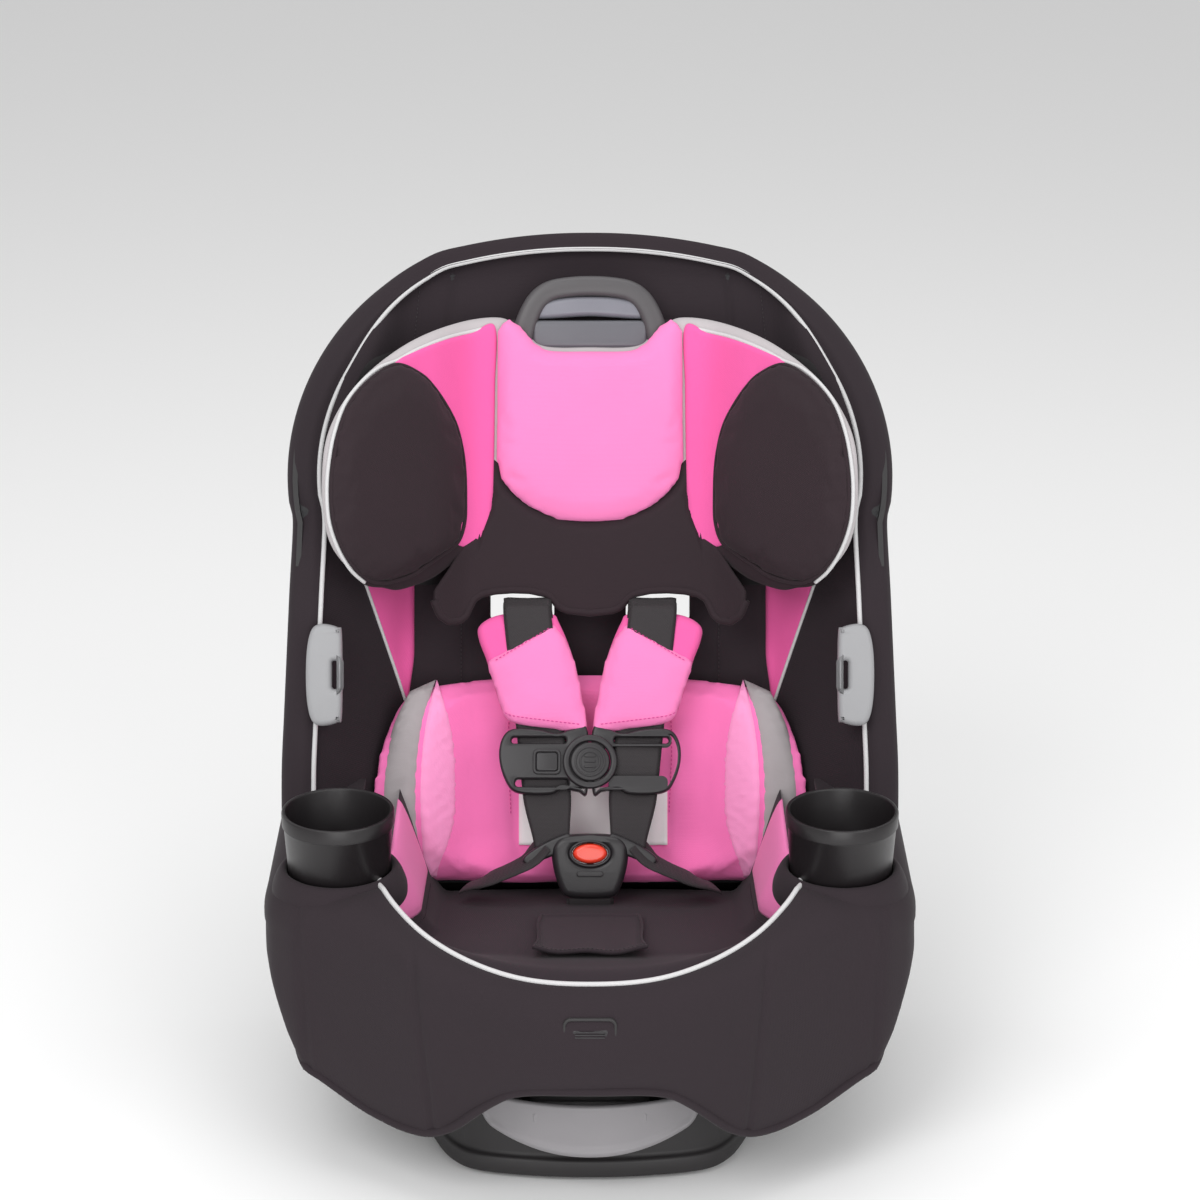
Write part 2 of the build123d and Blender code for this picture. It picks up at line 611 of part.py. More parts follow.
with BuildPart() as seat_cushion:
    with BuildSketch(Plane.YZ):
        with BuildLine():
            Polyline((CUSHION_REAR, seat_z(CUSHION_REAR) - CUSHION_T), (CUSHION_REAR, seat_z(CUSHION_REAR)),
                     (SEAT_NOSE_Y, seat_z(SEAT_NOSE_Y)), (SEAT_FRONT, NOSE_BOTTOM + 16),
                     (SEAT_FRONT - APRON, NOSE_BOTTOM + 1), (SEAT_NOSE_Y + 7, NOSE_BOTTOM), close=True)
        make_face()
        fillet(vertices().sort_by(Axis.X)[1], radius=6)
    extrude(amount=SEAT_HALF - FIT, both=True)
    add(CROTCH_SLOT, mode=Mode.SUBTRACT)
    extrude(seat_plan(APRON, SEAT_FLOOR), amount=FAR, mode=Mode.INTERSECT)
    add(ADJUSTER_HOLE, mode=Mode.SUBTRACT)
    add(seat_shell.part, mode=Mode.SUBTRACT)
finish(seat_cushion.part, "seat_cushion")

CUP_PLACES = [(-CUP_X, CUP_Y), (CUP_X, CUP_Y)]
with BuildPart() as cup_holes:
    with BuildSketch(Plane.XY.offset(CUP_BOTTOM - 4)):
        with Locations(*CUP_PLACES):
            Circle(SOCKET_R + FIT)
    extrude(amount=100)

with BuildPart() as arm_foams:
    add(seat_inside(-WALL - FIT, SEAT_FLOOR + WALL + FIT, -FIT))
    add(world_box(-SEAT_HALF, SEAT_HALF, -FAR, FAR, 0, FAR), mode=Mode.SUBTRACT)
    add(TORSO_SPACE, mode=Mode.SUBTRACT)
    add(cup_holes.part, mode=Mode.SUBTRACT)
finish(arm_foams.part, "arm_foams")

with BuildPart() as arm_pads:
    add(seat_block(APRON, SEAT_FLOOR, ARM_PAD))
    add(world_box(-SEAT_HALF, SEAT_HALF, -FAR, FAR, 0, FAR), mode=Mode.SUBTRACT)
    extrude(arm_region(0), amount=FAR, both=True, mode=Mode.SUBTRACT)
    split(bisect_by=Plane.XZ.offset(222), keep=Keep.BOTTOM)
    add(TORSO_SPACE, mode=Mode.SUBTRACT)
    add(world_box(-FAR, FAR, 0, FAR, 0, FAR), mode=Mode.SUBTRACT)
    add(cup_holes.part, mode=Mode.SUBTRACT)
finish(arm_pads.part, "arm_pads")

with BuildPart() as apron:
    add(seat_block(APRON, HEM_LOW, -FIT))
    add(seat_block(FIT, 0, FAR), mode=Mode.SUBTRACT)
    add(TORSO_SPACE, mode=Mode.SUBTRACT)
    add(world_box(-FAR, FAR, APRON_REAR, FAR, 0, FAR), mode=Mode.SUBTRACT)
    add(ADJUSTER_HOLE, mode=Mode.SUBTRACT)
    # the hem arches up in the middle and dips at the front corners
    with BuildSketch(Plane.XZ.offset(-100)):
        with BuildLine():
            hem = [(60, HEM_ARCH), (HEM_LOW_X, HEM_LOW), (HEM_LOW_X + 47, HEM_LOW + 4),
                   (SHELL_HALF - 16, HEM_SIDE),
                   (SHELL_HALF + 64, HEM_SIDE + 12)]
            Polyline([(-x, z) for x, z in hem[::-1]] + hem + [(SHELL_HALF + 64, 0), (-SHELL_HALF - 64, 0)],
                     close=True)
        make_face()
    extrude(amount=FAR, mode=Mode.SUBTRACT)
finish(apron.part, "apron")

# ---------------------------------------------------------------- body insert
with BuildPart() as body_insert:
    with BuildSketch(Plane.YZ):
        with BuildLine():
            Polyline(at_back(INSERT_TOP, 1), at_back(INSERT_TOP, INSERT_FACE - 8),
                     at_back(INSERT_TOP - 12, INSERT_FACE), at_back(22, INSERT_FACE),
                     (INSERT_FRONT + 12, seat_z(INSERT_FRONT + 12) + 14),
                     (INSERT_FRONT, seat_z(INSERT_FRONT) + 8), (INSERT_FRONT, seat_z(INSERT_FRONT) + 1),
                     (CREASE_Y - 3, seat_z(CREASE_Y - 3) + 1), close=True)
        make_face()
    extrude(amount=INSERT_HALF, both=True)
    for side, name in SIDES:
        with BuildSketch(UP_BACK.offset(14)):
            with BuildLine():
                Polyline((side * (INSERT_HALF - 2), -1), (side * (INSERT_HALF + 22), -1),
                         (side * (INSERT_HALF + 46), -44), (side * (INSERT_HALF + 34), -52),
                         (side * (INSERT_HALF - 2), -INSERT_FACE), close=True)
            make_face()
        extrude(amount=INSERT_TOP - 29)
finish(body_insert.part, "body_insert")


# ---------------------------------------------------------------- headrest
def headrest_outline(grow):
    """Front view of the headrest."""
    corners = [(90, HEAD_TOP), (HEAD_HALF - 33, HEAD_TOP - 38), (HEAD_HALF, HEAD_TOP - 108),
               (HEAD_HALF - 3, HEAD_BOTTOM + 35), (HEAD_HALF - 37, HEAD_BOTTOM)]
    with BuildSketch(BACK.offset(-20)) as outline:
        with BuildLine():
            Polyline(corners + [(-x, rise) for x, rise in corners[::-1]], close=True)
        make_face()
        fillet(outline.vertices(), radius=26)
        if grow:
            offset(amount=grow)
    return outline.sketch


def headrest_layer(low, high, grow):
    """A layer of the headrest: flat in the middle with wings that turn forwards."""
    wing_t = tan(radians(HEAD_WING))
    wing_c = cos(radians(HEAD_WING))
    reach = HEAD_HALF + 51

    def edge(depth):
        corner = HEAD_FLAT - (depth / wing_c - depth) / wing_t
        far_fore = HEAD_PLATE + (reach - HEAD_FLAT) * wing_t + depth / wing_c
        return [(-reach, -far_fore), (-corner, -HEAD_PLATE - depth), (corner, -HEAD_PLATE - depth),
                (reach, -far_fore)]

    with BuildPart() as layer:
        with BuildSketch(UP_BACK.offset(HEAD_BOTTOM - 90)):
            with BuildLine():
                Polyline(edge(low) + edge(high)[::-1], close=True)
            make_face()
        extrude(amount=FAR)
        extrude(headrest_outline(grow), amount=300, mode=Mode.INTERSECT)
    return layer.part


NOTCH = back_box(-NOTCH_HALF, NOTCH_HALF, NOTCH_RISE, HEAD_TOP + 62, HEAD_PLATE + WALL, 120)

with BuildPart() as headrest_shell:
    add(headrest_layer(0, WALL, -2))
    # neck and slide block that run on the rods
    add(back_box(-NECK_HALF, NECK_HALF, SLIDE_RISE - 12, SLIDE_RISE + 12, -32, HEAD_PLATE + 1))
    add(back_box(-SLIDE_HALF, SLIDE_HALF, SLIDE_RISE - SLIDE_TALL / 2, SLIDE_RISE + SLIDE_TALL / 2, -52, -31))
    with BuildSketch(UP_BACK.offset(SLIDE_RISE - 30)):
        with Locations(*ROD_PLACES):
            Circle(ROD_R + SHAFT_FIT)
    extrude(amount=60, mode=Mode.SUBTRACT)
    with BuildSketch(BACK.offset(-60)):
        with Locations((0, SLIDE_RISE)):
            Circle(PIN_R + SHAFT_FIT)
    extrude(amount=28, mode=Mode.SUBTRACT)
finish(headrest_shell.part, "headrest_shell")

for low, high, grow, name in ((WALL + FIT, HEAD_FOAM, -6, "headrest_foam"),
                              (HEAD_FOAM + FIT, HEAD_COVER, 0, "headrest_cover")):
    with BuildPart() as head_layer:
        add(headrest_layer(low, high, grow))
        add(NOTCH, mode=Mode.SUBTRACT)
    finish(head_layer.part, name)

for side, name in SIDES:
    with BuildPart() as wing_pad:
        add(headrest_layer(HEAD_COVER + FIT, HEAD_PAD, 0))
        with BuildSketch(BACK):
            with Locations((side * WING_PAD[0], WING_PAD[1])):
                Ellipse(*WING_PAD_R)
        extrude(amount=300, mode=Mode.INTERSECT)
    finish(wing_pad.part, "headrest_wing_pad_" + name)

with BuildPart() as headrest_centre_pad:
    with BuildSketch(BACK.offset(HEAD_PLATE + HEAD_COVER + FIT)):
        with BuildLine():
            ThreePointArc((-PAD_HALF, 320), (0, 289), (PAD_HALF, 320))
            Polyline((PAD_HALF, 320), (PAD_HALF, NOTCH_RISE - 2), (-PAD_HALF, NOTCH_RISE - 2),
                     (-PAD_HALF, 320))
        make_face()
    extrude(amount=HEAD_PAD - HEAD_COVER)
finish(headrest_centre_pad.part, "headrest_centre_pad")

with BuildPart() as headrest_bib:
    with BuildSketch(BACK.offset(HEAD_PLATE + HEAD_COVER + FIT)):
        with BuildLine():
            ThreePointArc((-96, 268), (0, 236), (96, 268))
            Polyline((96, 268), (122, 268), (122, BIB_BOTTOM + 11), (104, BIB_BOTTOM), (-104, BIB_BOTTOM),
                     (-122, BIB_BOTTOM + 11), (-122, 268), (-96, 268))
        make_face()
        with Locations((-STRAP_X_HIGH, SLOT_RISE), (STRAP_X_HIGH, SLOT_RISE)):
            Rectangle(STRAP_W + 8, 8, mode=Mode.SUBTRACT)
    extrude(amount=6)
    add(headrest_layer(-10, HEAD_COVER + FIT, 2), mode=Mode.SUBTRACT)
finish(headrest_bib.part, "headrest_bib")

with BuildPart() as headrest_grip:
    with BuildSketch(BACK.offset(HEAD_PLATE + WALL + FIT)):
        with BuildLine():
            Polyline((GRIP_HALF, NOTCH_RISE + 1), (GRIP_HALF, NOTCH_RISE + 24),
                     (GRIP_HALF - 13, GRIP_TOP - 5))
            ThreePointArc((GRIP_HALF - 13, GRIP_TOP - 5), (0, GRIP_TOP), (13 - GRIP_HALF, GRIP_TOP - 5))
            Polyline((13 - GRIP_HALF, GRIP_TOP - 5), (-GRIP_HALF, NOTCH_RISE + 24),
                     (-GRIP_HALF, NOTCH_RISE + 1),
                     (GRIP_HALF, NOTCH_RISE + 1))
        make_face()
        with Locations((0, GRIP_TOP - 30)):
            RectangleRounded(*GRIP_HOLE, 6, mode=Mode.SUBTRACT)
    extrude(amount=GRIP_T)
finish(headrest_grip.part, "headrest_grip")

with BuildPart() as headrest_trigger:
    with BuildSketch(BACK.offset(HEAD_PLATE + WALL + 3)):
        with Locations((0, GRIP_TOP - 33.5)):
            RectangleRounded(TRIGGER[0], TRIGGER[1], 5)
    extrude(amount=TRIGGER[2])
finish(headrest_trigger.part, "headrest_trigger")

with BuildPart() as headrest_rods:
    with BuildSketch(UP_BACK.offset(ROD_LOW + 2)):
        with Locations(*ROD_PLACES):
            Circle(ROD_R)
    extrude(amount=TOP_RISE - ROD_LOW - 12)
finish(headrest_rods.part, "headrest_rods")

with BuildPart() as rod_brackets:
    for low in (ROD_LOW, TOP_RISE - 18):
        add(back_box(-56, 56, low, low + ROD_BRACKET, INSIDE_REAR, -30))
    with BuildSketch(UP_BACK.offset(ROD_LOW - 4)):
        with Locations(*ROD_PLACES):
            Circle(ROD_R)
    extrude(amount=TOP_RISE - ROD_LOW, mode=Mode.SUBTRACT)
    with BuildSketch(BACK.offset(-BACK_DEPTH)):
        with Locations(*SCREW_PLACES):
            Circle(SCREW_R)
    extrude(amount=BACK_DEPTH + ROD_FORE, mode=Mode.SUBTRACT)
finish(rod_brackets.part, "rod_brackets")

with BuildPart() as bracket_screws:
    with BuildSketch(BACK.offset(-BACK_DEPTH)):
        with Locations(*SCREW_PLACES):
            Circle(SCREW_R)
    extrude(amount=BACK_DEPTH + ROD_FORE)
    with BuildSketch(BACK.offset(-BACK_DEPTH - 3)):
        with Locations(*SCREW_PLACES):
            Circle(2 * SCREW_R)
            RegularPolygon(radius=2, side_count=6, mode=Mode.SUBTRACT)
    extrude(amount=3)
finish(bracket_screws.part, "bracket_screws")

with BuildPart() as lock_strip:
    with BuildSketch(BACK.offset(INSIDE_REAR)):
        with Locations((0, SLIDE_RISE + 60)):
            Rectangle(18, 200)
        for step in range(NOTCHES):
            with Locations((0, SLIDE_RISE + step * HEAD_TRAVEL / (NOTCHES - 1))):
                Circle(PIN_R + 0.5, mode=Mode.SUBTRACT)
    extrude(amount=STRIP_T)
finish(lock_strip.part, "lock_strip")

with BuildPart() as lock_pin:
    with BuildSketch(BACK.offset(INSIDE_REAR + STRIP_T + 0.4)):
        with Locations((0, SLIDE_RISE)):
            Circle(PIN_R)
    extrude(amount=PIN_LENGTH)
finish(lock_pin.part, "lock_pin")

# ---------------------------------------------------------------- cup holders
for side, name in SIDES:
    middle = side * CUP_X
    with BuildPart() as cup_holder:
        with BuildSketch(Plane.XZ.offset(-CUP_Y)):
            with BuildLine():
                Polyline((middle, CUP_BOTTOM), (middle + CUP_R_LOW, CUP_BOTTOM),
                         (middle + CUP_R_LOW + CUP_FLARE, CUP_RIM),
                         (middle + CUP_R_LOW + CUP_FLARE - CUP_WALL, CUP_RIM),
                         (middle + CUP_R_LOW - CUP_WALL, CUP_BOTTOM + CUP_WALL),
                         (middle, CUP_BOTTOM + CUP_WALL),
                         close=True)
            make_face()
        revolve(axis=Axis((middle, CUP_Y, 0), (0, 0, 1)))
    finish(cup_holder.part, "cup_holder_" + name)

with BuildPart() as cup_sockets:
    with BuildSketch(Plane.XY.offset(CUP_BOTTOM - 3.5)):
        with Locations(*CUP_PLACES):
            Circle(SOCKET_R)
    extrude(amount=ARM_HIGH + ARM_PAD - CUP_BOTTOM + 3.5)
    with BuildSketch(Plane.XY.offset(CUP_BOTTOM - FIT)):
        with Locations(*CUP_PLACES):
            Circle(CUP_R_LOW + SOCKET_GAP)
    extrude(amount=60, mode=Mode.SUBTRACT)
finish(cup_sockets.part, "cup_sockets")

with BuildPart() as cup_collars:
    with BuildSketch(Plane.XY.offset(ARM_HIGH + ARM_PAD + FIT)):
        with Locations(*CUP_PLACES):
            Circle(COLLAR_R)
            Circle(CUP_R_LOW + SOCKET_GAP + 0.5, mode=Mode.SUBTRACT)
    extrude(amount=COLLAR_T)
    fillet(cup_collars.edges().group_by(Axis.Z)[-1].sort_by(SortBy.LENGTH)[-2:], radius=COLLAR_T / 2)
finish(cup_collars.part, "cup_collars")

# ---------------------------------------------------------------- harness
RUN = ((SLOT_RISE - BUCKLE_RISE) ** 2 + (SLOT_FORE - BUCKLE_FORE) ** 2) ** 0.5
RUN_RISE = (SLOT_RISE - BUCKLE_RISE) / RUN
RUN_FORE = (SLOT_FORE - BUCKLE_FORE) / RUN
HARNESS = Plane(origin=(0,) + at_back(BUCKLE_RISE, BUCKLE_FORE), x_dir=(1, 0, 0),
                z_dir=back_vector(-RUN_FORE, RUN_RISE))


def strap_x(along):
    """Distance of a shoulder strap's middle from the seat's middle, at a length up from the buckle."""
    return STRAP_X_LOW + (STRAP_X_HIGH - STRAP_X_LOW) * along / RUN


for side, name in SIDES:
    with BuildPart() as shoulder_strap:
        with BuildSketch(Plane.YZ.offset(side * STRAP_X_HIGH)):
            with BuildLine():
                Polyline(at_back(YOKE_RISES[1] + 1, STRAP_REAR_FORE), at_back(SLOT_RISE, STRAP_REAR_FORE),
                         at_back(SLOT_RISE, SLOT_FORE))
            trace(line_width=STRAP_T)
        extrude(amount=STRAP_W / 2, both=True)
        with BuildSketch(HARNESS.offset(-STRAP_T / 2)):
            with BuildLine():
                Polyline((side * strap_x(TONGUE_END) - STRAP_W / 2, TONGUE_END),
                         (side * strap_x(TONGUE_END) + STRAP_W / 2, TONGUE_END),
                         (side * STRAP_X_HIGH + STRAP_W / 2, RUN), (side * STRAP_X_HIGH - STRAP_W / 2, RUN),
                         close=True)
            make_face()
        extrude(amount=STRAP_T)
    finish(shoulder_strap.part, "shoulder_strap_" + name)

    with BuildPart() as shoulder_pad:
        with BuildSketch(HARNESS.offset(-PAD_T / 2)):
            with BuildLine():
                outline = [(26, 170), (74, 170), (86, 155), (81, 136), (70, 94), (61, 84), (2, 84), (11, 128)]
                Polyline([(side * x, along) for x, along in outline], close=True)
            make_face()
            fillet(vertices(), radius=4)
        extrude(amount=PAD_T)
        with BuildSketch(HARNESS.offset(-STRAP_T / 2 - 1)):
            with Locations((side * strap_x(128), 130)):
                Rectangle(STRAP_W + 14, 140)
        extrude(amount=STRAP_T + 2, mode=Mode.SUBTRACT)
    finish(shoulder_pad.part, "shoulder_pad_" + name)

    with BuildPart() as clip_half:
        with BuildSketch(HARNESS.offset(-6)):
            with Locations((side * (CLIP[0] / 2 + 0.5), CLIP_ALONG)):
                RectangleRounded(CLIP[0], CLIP[1], 12)
            with Locations((0, CLIP_ALONG)):
                Circle(CLIP_BUTTON_R + FIT, mode=Mode.SUBTRACT)
        extrude(amount=CLIP[2])
        with BuildSketch(HARNESS.offset(-STRAP_T / 2 - 1)):
            with Locations((side * strap_x(CLIP_ALONG), CLIP_ALONG)):
                Rectangle(STRAP_W + 12, CLIP[1] + 26)
        extrude(amount=STRAP_T + 2, mode=Mode.SUBTRACT)
    finish(clip_half.part, "chest_clip_" + name)

    with BuildPart() as tongue:
        with BuildSketch(BACK.offset(TONGUE_FORE)):
            with BuildLine():
                outline = [(1.5, 20), (20, 20), (20, 46), (50, 46), (50, 58), (1.5, 58)]
                Polyline([(side * x, rise) for x, rise in outline], close=True)
            make_face()
            fillet(vertices(), radius=1.4)
        extrude(amount=TONGUE_T)
    finish(tongue.part, "buckle_tongue_" + name)

    with BuildPart() as lap_strap:
        with BuildSketch(BACK.offset(BUCKLE_FORE - STRAP_T / 2)):
            with BuildLine():
                outline = [(51, 56), (51, 44), (36, 38), (64, 2), (98, 24), (72, 58)]
                Polyline([(side * x, rise) for x, rise in outline], close=True)
            make_face()
        extrude(amount=STRAP_T)
    finish(lap_strap.part, "lap_strap_" + name)

with BuildPart() as chest_clip_button:
    with BuildSketch(HARNESS):
        with Locations((0, CLIP_ALONG)):
            Circle(CLIP_BUTTON_R)
    extrude(amount=CLIP[2] - 4.5)
finish(chest_clip_button.part, "chest_clip_button")

with BuildPart() as buckle_housing:
    with BuildSketch(BACK.offset(BUCKLE_BACK)):
        with BuildLine():
            Polyline((-29, 44), (29, 44), (27, 0), (20, -4), (-20, -4), (-27, 0), close=True)
        make_face()
        fillet(vertices(), radius=4)
    extrude(amount=BUCKLE_T)
    add(back_box(-22, 22, 16, 50, TONGUE_FORE - 0.4, TONGUE_FORE + TONGUE_T + 0.4), mode=Mode.SUBTRACT)
    with BuildSketch(BACK.offset(BUCKLE_BACK + 15)):
        with Locations((0, RED_BUTTON_RISE)):
            Rectangle(RED_BUTTON[0] + 2 * FIT, RED_BUTTON[1] + 2 * FIT)
    extrude(amount=10, mode=Mode.SUBTRACT)
finish(buckle_housing.part, "buckle_housing")

with BuildPart() as buckle_button:
    with BuildSketch(BACK.offset(BUCKLE_BACK + 18)):
        with Locations((0, RED_BUTTON_RISE)):
            Rectangle(*RED_BUTTON)
    extrude(amount=5)
finish(buckle_button.part, "buckle_button")

with BuildPart() as crotch_anchor:
    add(world_box(-30, 30, CROTCH_Y - 10, CROTCH_Y + 10, FOAM_FLOOR - 3.2, FOAM_FLOOR - FIT))
finish(crotch_anchor.part, "crotch_anchor")

with BuildPart() as crotch_strap:
    add(world_box(1 - STRAP_W / 2, STRAP_W / 2 - 1, CROTCH_Y - 1, CROTCH_Y + 1, FOAM_FLOOR + FIT, 144.5))
finish(crotch_strap.part, "crotch_strap")

with BuildPart() as harness_yoke:
    add(back_box(-YOKE_HALF, YOKE_HALF, *YOKE_RISES, STRAP_REAR_FORE - 1.5, STRAP_REAR_FORE + 1.5))
    add(back_box(-16, 16, YOKE_RISES[0] + 5, YOKE_RISES[0] + 9, -45, -35), mode=Mode.SUBTRACT)
finish(harness_yoke.part, "harness_yoke")

# from the yoke down the back, under the foam and up to the adjuster
with BuildPart() as adjuster_webbing:
    with BuildSketch(Plane.YZ):
        with BuildLine():
            Polyline(at_back(YOKE_RISES[0] - 1, STRAP_REAR_FORE),
                     at_back(BELT_RISES[1] - 2, INSIDE_REAR + 1.2),
                     at_back(12, INSIDE_REAR + 1.2), (119, SEAT_FLOOR + 24), (112, SEAT_FLOOR + 7),
                     (KEEL_Y, SEAT_FLOOR + 7), (SEAT_FRONT + 10.5, SEAT_FLOOR + 38), (SEAT_FRONT + 9, 145))
        trace(line_width=STRAP_T)
    extrude(amount=TAIL_W / 2, both=True)
finish(adjuster_webbing.part, "adjuster_webbing")

with BuildPart() as adjuster_housing:
    half_x = ADJUSTER[0] / 2
    half_z = ADJUSTER[1] / 2
    add(world_box(-half_x, half_x, -247, -226, ADJUSTER_Z - half_z, ADJUSTER_Z + half_z))
    add(world_box(5 - half_x, half_x - 5, -260, -231, ADJUSTER_Z - half_z + 3, ADJUSTER_Z + half_z - 3),
        mode=Mode.SUBTRACT)
finish(adjuster_housing.part, "adjuster_housing")

with BuildPart() as adjuster_lever:
    with BuildSketch(Plane.YZ):
        with BuildLine():
            Polyline((-233, ADJUSTER_Z + 3), (-245, ADJUSTER_Z - 2), (-246, ADJUSTER_Z - 5),
                     (-243, ADJUSTER_Z - 6), (-233, ADJUSTER_Z - 4), close=True)
        make_face()
        with Locations((-233.5, ADJUSTER_Z - 0.5)):
            Circle(2.2)
    extrude(amount=ADJUSTER[0] / 2 - 6, both=True)
finish(adjuster_lever.part, "adjuster_lever")

# grey clips on the rim that hold the buckle tongues out of the way
with BuildPart() as wing_clips:
    for side, name in SIDES:
        with BuildSketch(BACK.offset(RIM_FORE + RIM_PAD + FIT)):
            with Locations((side * (SHELL_HALF - 30), 172)):
                RectangleRounded(26, 78, 6)
                with Locations((-side * 7, 0)):
                    Rectangle(5, 24, mode=Mode.SUBTRACT)
        extrude(amount=12)
finish(wing_clips.part, "wing_clips")
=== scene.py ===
"""Looks of a convertible child car seat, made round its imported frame.

Sizes in the classes are millimetres. A point on the back is given as (x, rise, fore): rise runs up the
back from the crease between back and seat, and fore stands square to the back, forwards.
"""
from __future__ import annotations

import json
import logging
import math
from dataclasses import dataclass
from enum import Enum
from typing import Callable, Sequence

import bmesh
import bpy
import numpy as np
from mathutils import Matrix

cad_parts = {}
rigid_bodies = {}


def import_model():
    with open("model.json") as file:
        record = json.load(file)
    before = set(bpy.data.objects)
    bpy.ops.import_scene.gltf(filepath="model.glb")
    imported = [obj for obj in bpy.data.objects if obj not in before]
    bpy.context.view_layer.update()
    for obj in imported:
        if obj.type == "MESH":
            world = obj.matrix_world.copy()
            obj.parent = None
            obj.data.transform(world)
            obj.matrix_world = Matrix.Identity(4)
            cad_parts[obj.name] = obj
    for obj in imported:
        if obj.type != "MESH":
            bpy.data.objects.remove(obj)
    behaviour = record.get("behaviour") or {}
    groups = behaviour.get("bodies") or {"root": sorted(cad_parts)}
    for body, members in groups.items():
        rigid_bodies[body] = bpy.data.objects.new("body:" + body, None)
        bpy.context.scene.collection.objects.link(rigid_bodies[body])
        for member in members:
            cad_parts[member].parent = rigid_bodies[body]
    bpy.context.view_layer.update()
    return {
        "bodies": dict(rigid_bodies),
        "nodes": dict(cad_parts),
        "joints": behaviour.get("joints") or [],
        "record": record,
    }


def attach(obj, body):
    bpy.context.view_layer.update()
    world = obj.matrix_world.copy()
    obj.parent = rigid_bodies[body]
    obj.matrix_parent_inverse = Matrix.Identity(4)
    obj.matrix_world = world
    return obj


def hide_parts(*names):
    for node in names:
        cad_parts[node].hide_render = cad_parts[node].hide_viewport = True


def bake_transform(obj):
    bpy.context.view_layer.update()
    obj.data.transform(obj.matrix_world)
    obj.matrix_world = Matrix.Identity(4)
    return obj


LOG = logging.getLogger("car_seat")
MM = 0.001
LEAN = math.radians(20.0)
LEAN_C, LEAN_S = math.cos(LEAN), math.sin(LEAN)
CREASE_Y, CREASE_Z = 80.0, 125.0
SIDES = ((-1, "left"), (1, "right"))
Array = np.ndarray
Place = Callable[[Array, Array, Array], Array]


# ------------------------------------------------------------------ places and curves
def on_back(x: Array, rise: Array, fore: Array) -> Array:
    """Turn (x, rise, fore) in mm into points in metres.

    Args:
        x: distance from the middle.
        rise: distance up the back.
        fore: distance in front of the back.

    Returns:
        Points, with x, y and z in the last axis.
    """
    x, rise, fore = np.broadcast_arrays(*(np.asarray(a, float) for a in (x, rise, fore)))
    return np.stack([x, CREASE_Y + rise * LEAN_S - fore * LEAN_C, CREASE_Z + rise * LEAN_C + fore * LEAN_S],
                    -1) * MM


def in_room(x: Array, y: Array, z: Array) -> Array:
    """Points in metres from plain x, y and z in mm."""
    x, y, z = np.broadcast_arrays(*(np.asarray(a, float) for a in (x, y, z)))
    return np.stack([x, y, z], -1) * MM


def on_harness(x: Array, along: Array, out: Array) -> Array:
    """Points in metres on the plane of the shoulder straps.

    Args:
        x: distance from the middle.
        along: distance up the straps from the buckle.
        out: distance in front of the straps.

    Returns:
        Points, with x, y and z in the last axis.
    """
    along, out = np.asarray(along, float), np.asarray(out, float)
    return on_back(x, 48 + 0.980 * along + 0.200 * out, 73 - 0.200 * along + 0.980 * out)


def ease(low: float, high: float, value: Array) -> Array:
    """Smooth step from 0 at low to 1 at high."""
    t = np.clip((np.asarray(value, float) - low) / (high - low), 0, 1)
    return t * t * (3 - 2 * t)


def soft_max(value: Array, radius: float) -> Array:
    """The larger of value and 0, with the corner rounded: half of value plus its length with the radius."""
    return 0.5 * (value + np.sqrt(value * value + radius * radius))


def soft_min(a: Array, b: Array, radius: float) -> Array:
    """The smaller of a and b, with the corner rounded."""
    return b - soft_max(b - a, radius)


def spline(points: Sequence[Sequence[float]], count: int, closed: bool = False) -> Array:
    """An even walk along a smooth Catmull-Rom curve through points.

    Args:
        points: the points it goes through, of any dimension.
        count: how many points come out.
        closed: whether it joins up.

    Returns:
        An array of count points; a closed one doesn't repeat its first.
    """
    p = np.asarray(points, float)
    ring = np.concatenate([p[-1:], p, p[:2]]) if closed else np.concatenate([2 * p[:1] - p[1:2], p,
                                                                             2 * p[-1:] - p[-2:-1]])
    a, b, c, d = (ring[i:len(ring) - 3 + i, None] for i in range(4))
    t = np.linspace(0, 1, 24, endpoint=False)[None, :, None]
    curve = 0.5 * (2 * b + (c - a) * t + (2 * a - 5 * b + 4 * c - d) * t**2 + (3 * b - a - 3 * c + d) * t**3)
    curve = curve.reshape(-1, p.shape[1])
    curve = np.concatenate([curve, p[:1] if closed else p[-1:]])
    run = np.concatenate([[0], np.cumsum(np.linalg.norm(np.diff(curve, axis=0), axis=1))])
    want = np.linspace(0, run[-1], count + 1)[:-1] if closed else np.linspace(0, run[-1], count)
    return np.stack([np.interp(want, run, curve[:, k]) for k in range(p.shape[1])], -1)


def arc(start: tuple[float, float], middle: tuple[float, float], end: tuple[float, float],
        count: int = 14) -> Array:
    """Points on the circle through three points, without the first one."""
    a, b, c = (np.array(p, float) for p in (start, middle, end))
    rows = 2 * np.array([b - a, c - a])
    hub = np.linalg.solve(rows, [b @ b - a @ a, c @ c - a @ a])
    turn = np.unwrap([math.atan2(*(p - hub)[::-1]) for p in (a, b, c)])
    sweep = np.linspace(turn[0], turn[2], count + 1)[1:]
    return hub + np.linalg.norm(a - hub) * np.stack([np.cos(sweep), np.sin(sweep)], -1)


def mirrored(points: Sequence[tuple[float, float]]) -> list[tuple[float, float]]:
    """A closed outline from its half at x <= 0, which starts and ends on the middle."""
    half = list(points)
    return half + [(-x, y) for x, y in half[::-1] if abs(x) > 1e-6]


